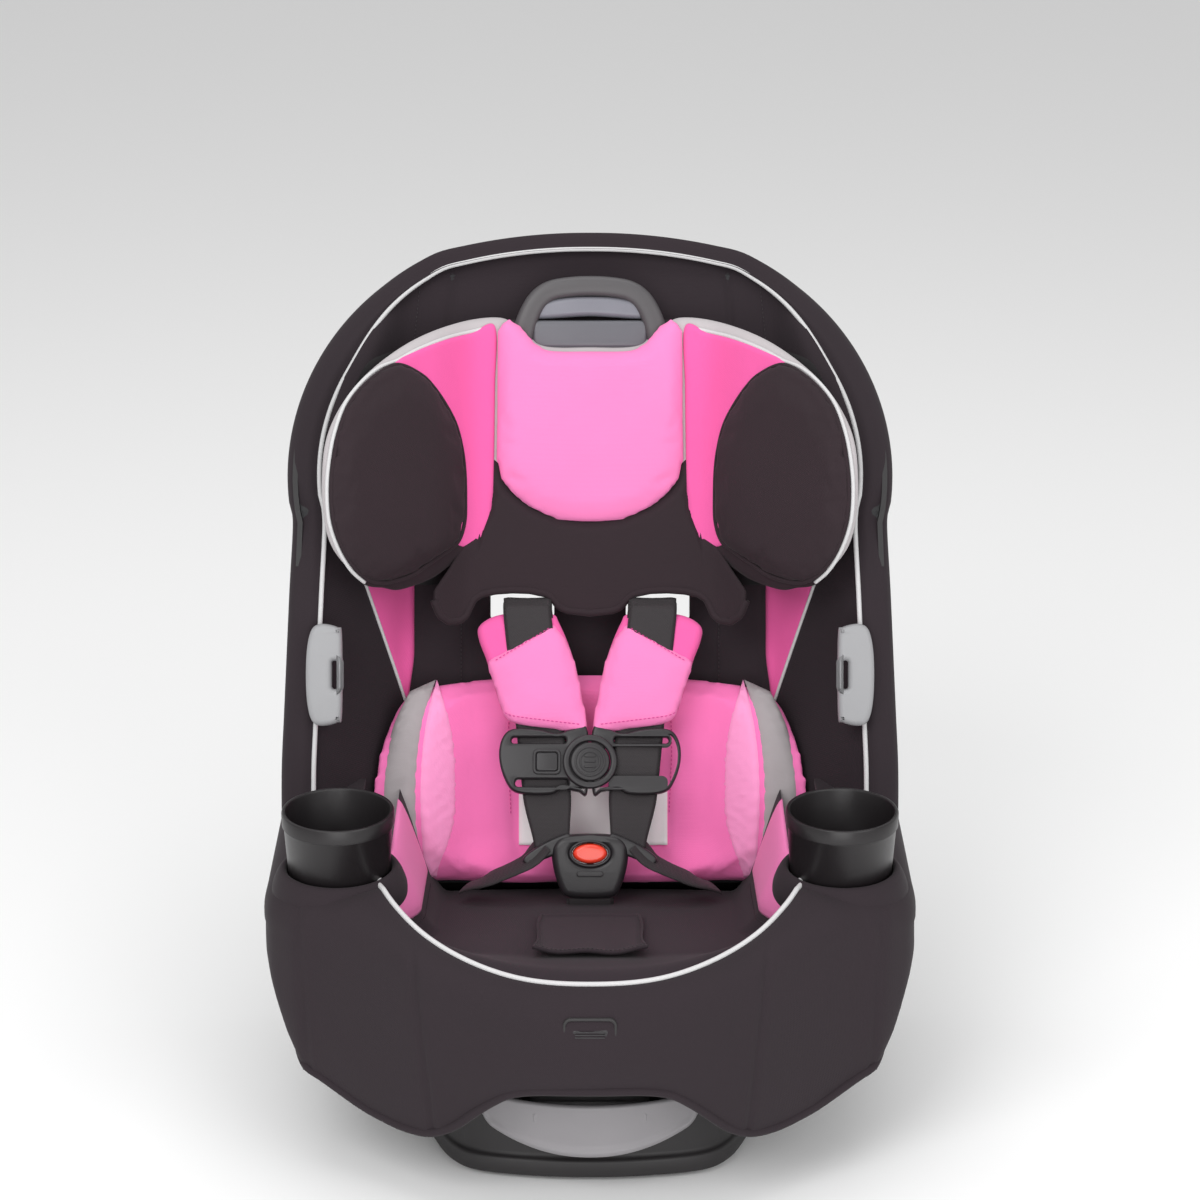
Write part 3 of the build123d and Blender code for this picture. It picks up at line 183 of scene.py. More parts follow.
def edge_distance(xy: Array, outline: Array) -> Array:
    """Distance of each point from a closed outline, as the least of the distances to its straight pieces."""
    a, b = outline, np.roll(outline, -1, axis=0)
    ab = b - a
    flat = xy.reshape(-1, 1, 2)
    t = np.clip(((flat - a) * ab).sum(-1) / np.maximum((ab * ab).sum(-1), 1e-9), 0, 1)
    near = a + t[..., None] * ab
    return np.linalg.norm(flat - near, axis=-1).min(-1).reshape(xy.shape[:-1])


# ------------------------------------------------------------------ meshes
def grid_quads(rows: int, cols: int, around: bool = False, start: int = 0) -> Array:
    """Corner numbers of the quads of a grid; around joins the last column to the first."""
    i, j = np.meshgrid(np.arange(rows - 1), np.arange(cols if around else cols - 1), indexing="ij")
    k = (j + 1) % cols
    corners = [i * cols + j, i * cols + k, (i + 1) * cols + k, (i + 1) * cols + j]
    return np.stack(corners, -1).reshape(-1, 4) + start


def make_piece(name: str, points: Array, quads: Array, sharp: float | None = None) -> bpy.types.Object:
    """Put points and quads into a mesh, merge doubles and turn the faces outwards.

    Args:
        name: name of the piece.
        points: points in metres.
        quads: corner numbers.
        sharp: angle in degrees over which an edge stays sharp, or None for none.

    Returns:
        The new object, at the origin.
    """
    mesh = bpy.data.meshes.new(name)
    mesh.from_pydata(points.reshape(-1, 3).tolist(), [], quads.tolist())
    work = bmesh.new()
    work.from_mesh(mesh)
    bmesh.ops.remove_doubles(work, verts=work.verts, dist=2e-6)
    bmesh.ops.dissolve_degenerate(work, edges=work.edges, dist=2e-6)
    bmesh.ops.recalc_face_normals(work, faces=work.faces)
    work.to_mesh(mesh)
    work.free()
    mesh.polygons.foreach_set("use_smooth", np.ones(len(mesh.polygons), bool))
    if sharp is not None:
        mesh.set_sharp_from_angle(angle=math.radians(sharp))
    piece = bpy.data.objects.new(name, mesh)
    bpy.context.scene.collection.objects.link(piece)
    return piece


def shell(name: str, front: Array, back: Array, around: bool = False) -> bpy.types.Object:
    """A closed skin from two grids of the same shape: front, back and the walls between their borders."""
    rows, cols = front.shape[:2]
    size = rows * cols
    quads = [grid_quads(rows, cols, around), grid_quads(rows, cols, around, size)[:, ::-1]]
    index = np.arange(size).reshape(rows, cols)
    borders = [index[0], index[-1]] if around else [index[0], index[-1], index[:, 0], index[:, -1]]
    for line in borders:
        a, b = (line, np.roll(line, -1)) if around else (line[:-1], line[1:])
        quads.append(np.stack([a, b, b + size, a + size], -1))
    return make_piece(name, np.concatenate([front.reshape(-1, 3), back.reshape(-1, 3)]),
                      np.concatenate(quads))


def swept(name: str, sections: Array, closed: bool = False, sharp: float | None = None) -> bpy.types.Object:
    """A closed profile carried along a path, with its ends drawn in to a point.

    Args:
        name: name of the piece.
        sections: (steps, corners, 3) points in metres.
        closed: whether the path joins up.
        sharp: angle over which edges stay sharp.

    Returns:
        The new object.
    """
    if not closed:
        ends = [np.repeat(sections[k].mean(0)[None], sections.shape[1], 0)[None] for k in (0, -1)]
        sections = np.concatenate([ends[0], sections, ends[1]])
    else:
        sections = np.concatenate([sections, sections[:1]])
    return make_piece(name, sections, grid_quads(*sections.shape[:2], around=True), sharp)


def path_frames(path: Array, face: Array, closed: bool = False) -> tuple[Array, Array]:
    """Side and face directions along a path.

    Args:
        path: points in metres.
        face: rough facing direction, one or one per point.
        closed: whether the path joins up.

    Returns:
        Unit vectors across the path in its surface, and out of the surface.
    """
    ahead = np.roll(path, -1, 0) - np.roll(path, 1, 0) if closed else np.gradient(path, axis=0)
    ahead = ahead / np.linalg.norm(ahead, axis=1, keepdims=True)
    side = np.cross(ahead, np.broadcast_to(face, path.shape))
    side = side / np.linalg.norm(side, axis=1, keepdims=True)
    return side, np.cross(side, ahead)


def tube(name: str, path: Array, radius: float, face: Array, closed: bool = False, flat: float = 1.0,
         corners: int = 10) -> bpy.types.Object:
    """A round or flattened tube along a path: an ellipse in the plane square to it.

    Args:
        name: name of the piece.
        path: points in metres.
        radius: half width in mm.
        face: facing direction.
        closed: whether it joins up.
        flat: thickness over width.
        corners: corners of the section.

    Returns:
        The new object.
    """
    side, out = path_frames(path, face, closed)
    turn = np.linspace(0, 2 * np.pi, corners, endpoint=False)
    ring = np.cos(turn)[None, :, None] * side[:, None] + flat * np.sin(turn)[None, :, None] * out[:, None]
    return swept(name, path[:, None] + ring * radius * MM, closed)


def ribbon(name: str, path: Array, face: Array, width: float | Array, thick: float,
           cup: float = 0.0) -> bpy.types.Object:
    """Webbing: a flat section with rounded selvedges carried along a path.

    Args:
        name: name of the piece.
        path: points in metres.
        face: facing direction.
        width: full width in mm, one or one per point.
        thick: thickness in mm.
        cup: how far the middle stands out, in mm.

    Returns:
        The new object.
    """
    side, out = path_frames(path, face)
    u = np.concatenate([np.linspace(-1, 1, 13), np.linspace(1, -1, 13)])
    up = np.repeat([1.0, -1.0], 13) * (1 - np.abs(u) ** 14) ** 0.5
    wide = np.broadcast_to(np.asarray(width, float), len(path))[:, None, None]
    rib = 0.12 * np.abs(np.sin(np.pi * 3.5 * u)) * np.sign(up)
    rise = (up * thick / 2 + cup * (1 - u * u) + rib)[None, :, None]
    return swept(name,
                 path[:, None] + (side[:, None] * u[None, :, None] * wide / 2 + out[:, None] * rise) * MM)


def stitches(name: str, path: Array, face: Array, pitch: float = 3.4, length: float = 2.3,
             radius: float = 0.38) -> bpy.types.Object:
    """A row of stitches: the same small spindle set down at even steps along a path.

    Args:
        name: name of the piece.
        path: points in metres.
        face: facing direction.
        pitch: step in mm.
        length: stitch length in mm.
        radius: thread radius in mm.

    Returns:
        One object that holds the whole row.
    """
    run = np.concatenate([[0], np.cumsum(np.linalg.norm(np.diff(path, axis=0), axis=1))])
    at = np.arange(pitch * MM / 2, run[-1], pitch * MM)
    mid = np.stack([np.interp(at, run, path[:, k]) for k in range(3)], -1)
    side, out = path_frames(mid, face)
    ahead = np.cross(out, side)
    span = np.array([-0.5, -0.34, 0.0, 0.34, 0.5])
    wide = np.array([0.05, 0.8, 1.0, 0.8, 0.05])
    turn = np.linspace(0, 2 * np.pi, 5, endpoint=False)
    sideways = np.cos(turn)[:, None] * side[:, None, None]
    outwards = np.sin(turn)[:, None] * out[:, None, None]
    cross = (sideways + outwards) * radius * MM
    forwards = ahead[:, None, None] * (span * length * MM)[:, None, None]
    rows = mid[:, None, None] + forwards + cross * wide[:, None, None]
    one = grid_quads(5, 5, around=True)
    quads = (one[None] + (np.arange(len(at)) * 25)[:, None, None]).reshape(-1, 4)
    return make_piece(name, rows, quads)


def rings(outline: Array, centre: tuple[float, float], count: int) -> Array:
    """Concentric copies of an outline drawn in towards a centre, closer together near the edge."""
    s = (1 - np.linspace(1, 0, count) ** 1.7)[:, None, None]
    mid = np.asarray(centre, float)
    return mid + (outline[None] - mid) * s


def cushion(name: str, outline: Sequence[tuple[float, float]], centre: tuple[float, float], place: Place,
            low: Callable[[Array, Array], Array], high: Callable[[Array, Array], Array], roll: float,
            grooves: Callable[[Array, Array], Array] | None = None, around: int = 180,
            count: int = 34) -> bpy.types.Object:
    """A stuffed pad over an outline.

    Its front stands off the mean of low and high by half their difference times a quarter circle of the
    distance from the edge over roll, and its back mirrors it.

    Args:
        name: name of the piece.
        outline: closed outline, through which a smooth curve goes.
        centre: a point that sees the whole outline.
        place: turns flat coordinates and a height into points.
        low: height of the back.
        high: height of the front.
        roll: how wide the rolled edge is.
        grooves: extra height of the front, negative in a seam.
        around: points round the outline.
        count: rings.

    Returns:
        The new object.
    """
    edge = spline(outline, around, closed=True)
    xy = rings(edge, centre, count)
    x, y = xy[..., 0], xy[..., 1]
    reach = np.clip(edge_distance(xy, edge) / roll, 0, 1)
    full = np.sqrt(1 - (1 - reach) ** 2)
    bottom, top = low(x, y), high(x, y)
    middle, half = (bottom + top) / 2, (top - bottom) / 2
    extra = grooves(x, y) * full if grooves else 0.0
    return shell(name, place(x, y, middle + half * full + extra), place(x, y, middle - half * full),
                 around=True)


def plate(name: str, loops: Sequence[Array], thick: float, bevel: float, place: Place, base: float = 0.0,
          sharp: float | None = 40.0) -> bpy.types.Object:
    """A moulded plate with holes and rounded edges, filled between flat closed curves.

    Args:
        name: name of the piece.
        loops: the outer outline and then the holes, in mm.
        thick: full thickness.
        bevel: radius of the rounded edges.
        place: turns flat coordinates and a height into points.
        base: height of its underside.
        sharp: angle over which edges stay sharp.

    Returns:
        The new object.
    """
    curve = bpy.data.curves.new(name + "_line", "CURVE")
    curve.dimensions, curve.fill_mode = "2D", "BOTH"
    curve.extrude, curve.bevel_depth, curve.bevel_resolution = thick / 2 - bevel, bevel, 3
    curve.offset = -bevel
    for loop in loops:
        line = curve.splines.new("POLY")
        line.points.add(len(loop) - 1)
        line.points.foreach_set("co",
                                np.concatenate([loop, np.zeros((len(loop), 1)), np.ones((len(loop), 1))],
                                               1).ravel())
        line.use_cyclic_u = True
    helper = bpy.data.objects.new(name + "_line", curve)
    bpy.context.scene.collection.objects.link(helper)
    mesh = bpy.data.meshes.new_from_object(helper.evaluated_get(bpy.context.evaluated_depsgraph_get()))
    bpy.data.objects.remove(helper)
    flat = np.empty(len(mesh.vertices) * 3)
    mesh.vertices.foreach_get("co", flat)
    flat = flat.reshape(-1, 3)
    mesh.vertices.foreach_set("co", place(flat[:, 0], flat[:, 1], flat[:, 2] + thick / 2 + base).ravel())
    work = bmesh.new()
    work.from_mesh(mesh)
    bmesh.ops.remove_doubles(work, verts=work.verts, dist=1e-6)
    bmesh.ops.recalc_face_normals(work, faces=work.faces)
    work.to_mesh(mesh)
    work.free()
    mesh.polygons.foreach_set("use_smooth", np.ones(len(mesh.polygons), bool))
    if sharp is not None:
        mesh.set_sharp_from_angle(angle=math.radians(sharp))
    piece = bpy.data.objects.new(name, mesh)
    bpy.context.scene.collection.objects.link(piece)
    return piece


def rounded(width: float, height: float, radius: float, centre: tuple[float, float] = (0, 0),
            steps: int = 8) -> Array:
    """A rectangle with rounded corners, anticlockwise."""
    turn = np.linspace(0, np.pi / 2, steps)
    corner = np.array([(width / 2 - radius, height / 2 - radius), (radius - width / 2, height / 2 - radius),
                       (radius - width / 2, radius - height / 2), (width / 2 - radius, radius - height / 2)])
    angle = turn[None] + np.arange(4)[:, None] * np.pi / 2
    bend = np.stack([np.cos(angle), np.sin(angle)], -1) * radius
    return (corner[:, None] + bend).reshape(-1, 2) + np.asarray(centre)


def circle(radius: float | tuple[float, float], centre: tuple[float, float] = (0, 0),
           steps: int = 64) -> Array:
    """A circle or an ellipse, anticlockwise."""
    turn = np.linspace(0, 2 * np.pi, steps, endpoint=False)
    return np.stack([np.cos(turn), np.sin(turn)], -1) * np.broadcast_to(radius, 2) + np.asarray(centre)


def lathe(name: str, profile: Array, centre: tuple[float, float], steps: int = 96,
          sharp: float | None = 40.0) -> bpy.types.Object:
    """A closed profile of (radius, z) turned round an upright axis."""
    turn = np.linspace(0, 2 * np.pi, steps, endpoint=False)
    x = centre[0] + profile[None, :, 0] * np.cos(turn)[:, None]
    y = centre[1] + profile[None, :, 0] * np.sin(turn)[:, None]
    return swept(name, in_room(x, y, profile[None, :, 1] + 0 * x), closed=True, sharp=sharp)


def coordinates(piece: bpy.types.Object) -> Array:
    """A piece's points, in mm."""
    flat = np.empty(len(piece.data.vertices) * 3)
    piece.data.vertices.foreach_get("co", flat)
    return flat.reshape(-1, 3) / MM


def swell(piece: bpy.types.Object, voxel: float, cap: float) -> None:
    """Blow a pad up as sewn cloth with air in it.

    The skin is remeshed evenly, then a cloth simulation presses it out with no weight, and no point
    moves further than the cap.

    Args:
        piece: the pad.
        voxel: size of its even faces in mm.
        cap: most that a point may move, in mm.
    """
    even = piece.modifiers.new("even", "REMESH")
    even.mode, even.voxel_size = "VOXEL", voxel * MM
    mesh = bpy.data.meshes.new_from_object(piece.evaluated_get(bpy.context.evaluated_depsgraph_get()))
    piece.modifiers.clear()
    piece.data = mesh
    mesh.polygons.foreach_set("use_smooth", np.ones(len(mesh.polygons), bool))
    before = coordinates(piece)
    cloth = piece.modifiers.new("cloth", "CLOTH")
    settings = cloth.settings
    settings.quality, settings.mass, settings.air_damping = 5, 0.3, 1.0
    settings.tension_stiffness = settings.compression_stiffness = settings.shear_stiffness = 15.0
    settings.bending_stiffness = 0.6
    settings.use_pressure, settings.uniform_pressure_force = True, 4.0
    settings.effector_weights.gravity = 0.0
    cloth.point_cache.frame_start, cloth.point_cache.frame_end = 1, 20
    for frame_number in range(1, 21):
        bpy.context.scene.frame_set(frame_number)
    puffed = piece.evaluated_get(bpy.context.evaluated_depsgraph_get()).data
    after = np.empty(len(puffed.vertices) * 3)
    puffed.vertices.foreach_get("co", after)
    piece.modifiers.clear()
    move = after.reshape(-1, 3) / MM - before
    far = np.linalg.norm(move, axis=1, keepdims=True)
    move *= np.minimum(1, cap / np.maximum(far, 1e-6))
    mesh.vertices.foreach_set("co", ((before + move) * MM).ravel())
    mesh.update()
    bpy.context.scene.frame_set(1)


def smooth_once(piece: bpy.types.Object) -> None:
    """Give a pad one level of subdivision, the same on screen and in a render."""
    finer = piece.modifiers.new("finer", "SUBSURF")
    finer.levels = finer.render_levels = 1


def local_points(piece: bpy.types.Object) -> Array:
    """A piece's points as (x, rise, fore) in mm."""
    p = coordinates(piece)
    y, z = p[:, 1] - CREASE_Y, p[:, 2] - CREASE_Z
    return np.stack([p[:, 0], y * LEAN_S + z * LEAN_C, -y * LEAN_C + z * LEAN_S], -1)


def front_height(piece: bpy.types.Object, x: Array, rise: Array, reach: float = 7.0) -> Array:
    """Fore of a piece's front at each (x, rise): the mean of its most forward points close by.

    Args:
        piece: a soft piece on the back.
        x: distances from the middle.
        rise: distances up the back.
        reach: how far round each place to look, in mm.

    Returns:
        One fore per place.
    """
    p = local_points(piece)
    far = (p[None, :, 0] - x.reshape(-1, 1)) ** 2 + (p[None, :, 1] - rise.reshape(-1, 1)) ** 2
    top = np.where(far < reach * reach, p[None, :, 2], -1e3).max(1)
    near = (far < reach * reach) & (p[None, :, 2] > top[:, None] - 5)
    weight = near * np.exp(-far / (0.18 * reach * reach)) + 1e-12
    fore = (weight * p[None, :, 2]).sum(1) / weight.sum(1)
    return fore.reshape(x.shape)


def press_seam(piece: bpy.types.Object, line: Array, depth: float, width: float) -> None:
    """Draw a seam into the front of a soft piece on the back.

    Every forward-facing point sinks by depth times a bell curve of its distance from the line.

    Args:
        piece: the pad, already in its final shape.
        line: (x, rise) points in mm.
        depth: depth in mm.
        width: half width in mm.
    """
    p = local_points(piece)
    loop = np.concatenate([line, line[::-1]])
    fall = depth * np.exp(-(edge_distance(p[:, :2], loop) / width) ** 2)
    normal = np.empty(len(piece.data.vertices) * 3)
    piece.data.vertices.foreach_get("normal", normal)
    facing = normal.reshape(-1, 3) @ np.array([0, -LEAN_C, LEAN_S])
    p[:, 2] -= fall * ease(-0.1, 0.4, facing)
    piece.data.vertices.foreach_set("co", on_back(p[:, 0], p[:, 1], p[:, 2]).ravel())
    piece.data.update()


def apply_cut(piece: bpy.types.Object, cutter: bpy.types.Object) -> None:
    """Take a closed cutter out of a closed piece, then remove the cutter."""
    knife = piece.modifiers.new("cut", "BOOLEAN")
    knife.operation, knife.solver, knife.object = "DIFFERENCE", "EXACT", cutter
    mesh = bpy.data.meshes.new_from_object(piece.evaluated_get(bpy.context.evaluated_depsgraph_get()))
    piece.modifiers.clear()
    piece.data = mesh
    bpy.data.objects.remove(cutter)
    piece.data.polygons.foreach_set("use_smooth", np.ones(len(piece.data.polygons), bool))
    piece.data.set_sharp_from_angle(angle=math.radians(60))


def cut_boxes(piece: bpy.types.Object, boxes: Sequence[tuple[float, float, float, float]], low: float,
              high: float) -> None:
    """Cut slots straight through a piece on the back.

    Args:
        piece: a closed piece.
        boxes: each slot's (x low, x high, rise low, rise high) in mm.
        low: fore where the cut starts.
        high: fore where it ends.
    """
    for x0, x1, r0, r1 in boxes:
        loop = rounded(x1 - x0, r1 - r0, 5, ((x0 + x1) / 2, (r0 + r1) / 2), 5)
        ends = np.stack([on_back(loop[:, 0], loop[:, 1], fore + 0 * loop[:, 0]) for fore in (low, high)])
        cutter = swept("cutter", ends)
        apply_cut(piece, cutter)


def cut_round(piece: bpy.types.Object, centre: tuple[float, float], radius: float, low: float,
              high: float) -> None:
    """Cut an upright round hole through a closed piece.

    Args:
        piece: a closed piece.
        centre: (x, y) of the hole's axis in mm.
        radius: radius of the hole.
        low: height where the cut starts.
        high: height where it ends.
    """
    loop = circle(radius, centre, 72)
    cutter = swept("cutter",
                   np.stack([in_room(loop[:, 0], loop[:, 1],
                                     level + 0 * loop[:, 0]) for level in (low, high)]))
    apply_cut(piece, cutter)


# ------------------------------------------------------------------ finishes
def group_tree(name: str, inputs: dict[str, float],
               outputs: Sequence[str]) -> tuple[bpy.types.NodeTree, dict, dict]:
    """A new shader node group.

    Args:
        name: name of the group.
        inputs: names and default values of its inputs, besides Vector.
        outputs: names of its outputs.

    Returns:
        The tree, its input sockets and its output sockets.
    """
    tree = bpy.data.node_groups.new(name, "ShaderNodeTree")
    tree.interface.new_socket("Vector", in_out="INPUT", socket_type="NodeSocketVector")
    for key, value in inputs.items():
        tree.interface.new_socket(key, in_out="INPUT", socket_type="NodeSocketFloat").default_value = value
    for key in outputs:
        tree.interface.new_socket(key, in_out="OUTPUT", socket_type="NodeSocketFloat")
    inner, outer = tree.nodes.new("NodeGroupInput"), tree.nodes.new("NodeGroupOutput")
    return tree, inner.outputs, outer.inputs


def add_math(tree: bpy.types.NodeTree, operation: str, *values: object) -> bpy.types.NodeSocket:
    """A Math node; each value is a number or a socket to link."""
    node = tree.nodes.new("ShaderNodeMath")
    node.operation = operation
    for slot, value in zip(node.inputs, values):
        if isinstance(value, (int, float)):
            slot.default_value = value
        else:
            tree.links.new(value, slot)
    return node.outputs[0]


def knit_group() -> bpy.types.NodeTree:
    """Fine knit: sines of the three coordinates, mixed with a little noise."""
    tree, given, out = group_tree("fine_knit", {"Pitch": 1.3}, ("Height", "Mottle"))
    split = tree.nodes.new("ShaderNodeSeparateXYZ")
    tree.links.new(given["Vector"], split.inputs[0])
    rate = add_math(tree, "DIVIDE", 6283.0, given["Pitch"])
    waves = [add_math(tree, "SINE", add_math(tree, "MULTIPLY", split.outputs[k], rate)) for k in range(3)]
    cross = add_math(tree, "MULTIPLY", waves[0], waves[2])
    weave = add_math(tree, "ADD", cross, add_math(tree, "MULTIPLY", waves[1], 0.5))
    fuzz = tree.nodes.new("ShaderNodeTexNoise")
    fuzz.inputs["Scale"].default_value, fuzz.inputs["Detail"].default_value = 900.0, 3.0
    tree.links.new(given["Vector"], fuzz.inputs["Vector"])
    tree.links.new(add_math(tree, "ADD", add_math(tree, "MULTIPLY", weave, 0.35), fuzz.outputs[0]),
                   out["Height"])
    cloud = tree.nodes.new("ShaderNodeTexNoise")
    cloud.inputs["Scale"].default_value, cloud.inputs["Detail"].default_value = 14.0, 4.0
    tree.links.new(given["Vector"], cloud.inputs["Vector"])
    tree.links.new(cloud.outputs[0], out["Mottle"])
    return tree


def grain_group() -> bpy.types.NodeTree:
    """Moulded grain: small cells with soft noise over them, and a slow mottle."""
    tree, given, out = group_tree("moulded_grain", {"Scale": 900.0}, ("Height", "Mottle"))
    cells = tree.nodes.new("ShaderNodeTexVoronoi")
    tree.links.new(given["Vector"], cells.inputs["Vector"])
    tree.links.new(given["Scale"], cells.inputs["Scale"])
    noise = tree.nodes.new("ShaderNodeTexNoise")
    noise.inputs["Scale"].default_value, noise.inputs["Detail"].default_value = 260.0, 5.0
    tree.links.new(given["Vector"], noise.inputs["Vector"])
    tree.links.new(add_math(tree, "ADD", cells.outputs["Distance"], noise.outputs[0]), out["Height"])
    cloud = tree.nodes.new("ShaderNodeTexNoise")
    cloud.inputs["Scale"].default_value, cloud.inputs["Detail"].default_value = 22.0, 6.0
    tree.links.new(given["Vector"], cloud.inputs["Vector"])
    tree.links.new(cloud.outputs[0], out["Mottle"])
    return tree


class Surface(Enum):
    """What a finish's relief is made of."""

    KNIT = "fine_knit"
    GRAIN = "moulded_grain"


@dataclass(frozen=True)
class Finish:
    """One material: its colour, its relief and how it takes the light.

    Attributes:
        name: name of the material.
        colour: linear base colour.
        relief: kind of relief.
        pitch: value of the relief's own input.
        bump: height of the relief in mm.
        rough: roughness.
        vary: how much the colour and roughness vary.
        sheen: sheen weight.
        metal: metallic value.
        coat: coat weight.
    """

    name: str
    colour: tuple[float, float, float]
    relief: Surface
    pitch: float
    bump: float
    rough: float
    vary: float = 0.12
    sheen: float = 0.0
    metal: float = 0.0
    coat: float = 0.0

    def material(self) -> bpy.types.Material:
        """The material, made on first use."""
        made = bpy.data.materials.get(self.name)
        if made:
            return made
        made = bpy.data.materials.new(self.name)
        made.use_nodes = True
        tree = made.node_tree
        shader = tree.nodes["Principled BSDF"]
        where = tree.nodes.new("ShaderNodeTexCoord")
        relief = tree.nodes.new("ShaderNodeGroup")
        relief.node_tree = bpy.data.node_groups[self.relief.value]
        relief.inputs[1].default_value = self.pitch
        tree.links.new(where.outputs["Object"], relief.inputs["Vector"])
        colour = tree.nodes.new("ShaderNodeMix")
        colour.data_type = "RGBA"
        colour.inputs["A"].default_value = (*(c * (1 - self.vary) for c in self.colour), 1)
        colour.inputs["B"].default_value = (*(min(1.0, c * (1 + self.vary)) for c in self.colour), 1)
        tree.links.new(relief.outputs["Mottle"], colour.inputs["Factor"])
        tree.links.new(colour.outputs["Result"], shader.inputs["Base Color"])
        spread = tree.nodes.new("ShaderNodeMapRange")
        spread.inputs["To Min"].default_value = self.rough - 0.1 * self.vary / 0.12
        spread.inputs["To Max"].default_value = min(1.0, self.rough + 0.1 * self.vary / 0.12)
        tree.links.new(relief.outputs["Mottle"], spread.inputs["Value"])
        tree.links.new(spread.outputs["Result"], shader.inputs["Roughness"])
        bump = tree.nodes.new("ShaderNodeBump")
        bump.inputs["Distance"].default_value = self.bump * MM
        bump.inputs["Strength"].default_value = 0.72
        tree.links.new(relief.outputs["Height"], bump.inputs["Height"])
        tree.links.new(bump.outputs["Normal"], shader.inputs["Normal"])
        shader.inputs["Sheen Weight"].default_value = self.sheen
        shader.inputs["Sheen Roughness"].default_value = 0.45
        shader.inputs["Metallic"].default_value = self.metal
        shader.inputs["Coat Weight"].default_value = self.coat
        shader.inputs["Specular IOR Level"].default_value = 0.2 if self.relief is Surface.KNIT else 0.45
        made.diffuse_color = (*self.colour, 1)
        return made


DARK = Finish("cover_dark_cloth", (0.026, 0.019, 0.023), Surface.KNIT, 1.5, 0.12, 0.86, 0.14, 0.06)
SEAT_DARK = Finish("seat_dark_cloth", (0.028, 0.020, 0.025), Surface.KNIT, 1.5, 0.12, 0.88, 0.14, 0.06)
PINK = Finish("pink_cloth", (0.80, 0.115, 0.36), Surface.KNIT, 1.3, 0.12, 0.80, 0.06, 0.10)
PALE_PINK = Finish("pale_pink_cloth", (0.87, 0.22, 0.49), Surface.KNIT, 1.3, 0.12, 0.80, 0.06, 0.10)
INSERT_PINK = Finish("insert_pink_cloth", (0.95, 0.20, 0.50), Surface.KNIT, 1.3, 0.12, 0.80, 0.06, 0.10)
SOFT_PINK = Finish("soft_pink_cloth", (0.97, 0.34, 0.62), Surface.KNIT, 1.3, 0.12, 0.80, 0.06, 0.10)
GREY = Finish("grey_cloth", (0.38, 0.345, 0.355), Surface.KNIT, 1.4, 0.12, 0.85, 0.08, 0.1)
LIGHT_GREY = Finish("light_grey_cloth", (0.46, 0.43, 0.44), Surface.KNIT, 1.4, 0.12, 0.85, 0.08, 0.1)
PIPING = Finish("pale_piping", (0.58, 0.575, 0.58), Surface.KNIT, 0.9, 0.08, 0.7, 0.05, 0.1)
PAD_BLACK = Finish("pad_black_cloth", (0.029, 0.019, 0.023), Surface.KNIT, 1.5, 0.12, 0.9, 0.14, 0.05)
WEBBING = Finish("webbing_weave", (0.034, 0.030, 0.032), Surface.KNIT, 2.0, 0.35, 0.62, 0.16, 0.06)
THREAD = Finish("pink_thread", (0.62, 0.05, 0.27), Surface.KNIT, 0.6, 0.05, 0.7, 0.05)
DARK_THREAD = Finish("dark_thread", (0.05, 0.043, 0.047), Surface.KNIT, 0.6, 0.05, 0.6, 0.05)
FOAM = Finish("bead_foam", (0.03, 0.03, 0.032), Surface.GRAIN, 260.0, 0.5, 0.85, 0.2)
SHELL = Finish("black_shell_moulding", (0.016, 0.015, 0.016), Surface.GRAIN, 1400.0, 0.06, 0.5, 0.12)
BASE = Finish("black_base_moulding", (0.019, 0.017, 0.018), Surface.GRAIN, 1400.0, 0.06, 0.5, 0.12)
HANDLE = Finish("grey_handle_moulding", (0.23, 0.22, 0.23), Surface.GRAIN, 1400.0, 0.05, 0.42, 0.08)
GRIP = Finish("dark_grip_moulding", (0.075, 0.07, 0.074), Surface.GRAIN, 1400.0, 0.05, 0.42, 0.1)
TRIGGER = Finish("trigger_moulding", (0.19, 0.19, 0.22), Surface.GRAIN, 1400.0, 0.04, 0.35, 0.08)
TRIGGER_LOW = Finish("trigger_bar_moulding", (0.115, 0.115, 0.13), Surface.GRAIN, 1400.0, 0.04, 0.35, 0.08)
KEEPER = Finish("keeper_moulding", (0.30, 0.30, 0.31), Surface.GRAIN, 1400.0, 0.05, 0.42, 0.08)
CLIP = Finish("dark_clip_moulding", (0.020, 0.018, 0.020), Surface.GRAIN, 1500.0, 0.05, 0.38, 0.12)
CUP = Finish("black_cup_moulding", (0.012, 0.010, 0.011), Surface.GRAIN, 1500.0, 0.04, 0.34, 0.12)
RED = Finish("red_button_moulding", (0.86, 0.055, 0.025), Surface.GRAIN, 1500.0, 0.02, 0.25, 0.05, coat=0.4)
STEEL = Finish("zinc_plated_steel", (0.50, 0.50, 0.52), Surface.GRAIN, 700.0, 0.03, 0.32, 0.12, metal=1.0)
RUBBER = Finish("foot_rubber", (0.012, 0.012, 0.012), Surface.GRAIN, 800.0, 0.08, 0.8, 0.15)
PATCH = Finish("blank_patch", (0.88, 0.88, 0.87), Surface.KNIT, 0.8, 0.05, 0.6, 0.04)


def dress(piece: bpy.types.Object, finish: Finish, body: str | None) -> bpy.types.Object:
    """Give a new piece its finish, and attach it to its body.

    Args:
        piece: the new piece.
        finish: its material.
        body: the body that it rides on, or None to leave it on no body.

    Returns:
        The same piece.
    """
    piece.data.materials.clear()
    piece.data.materials.append(finish.material())
    if body is not None:
        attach(piece, body)
    return piece


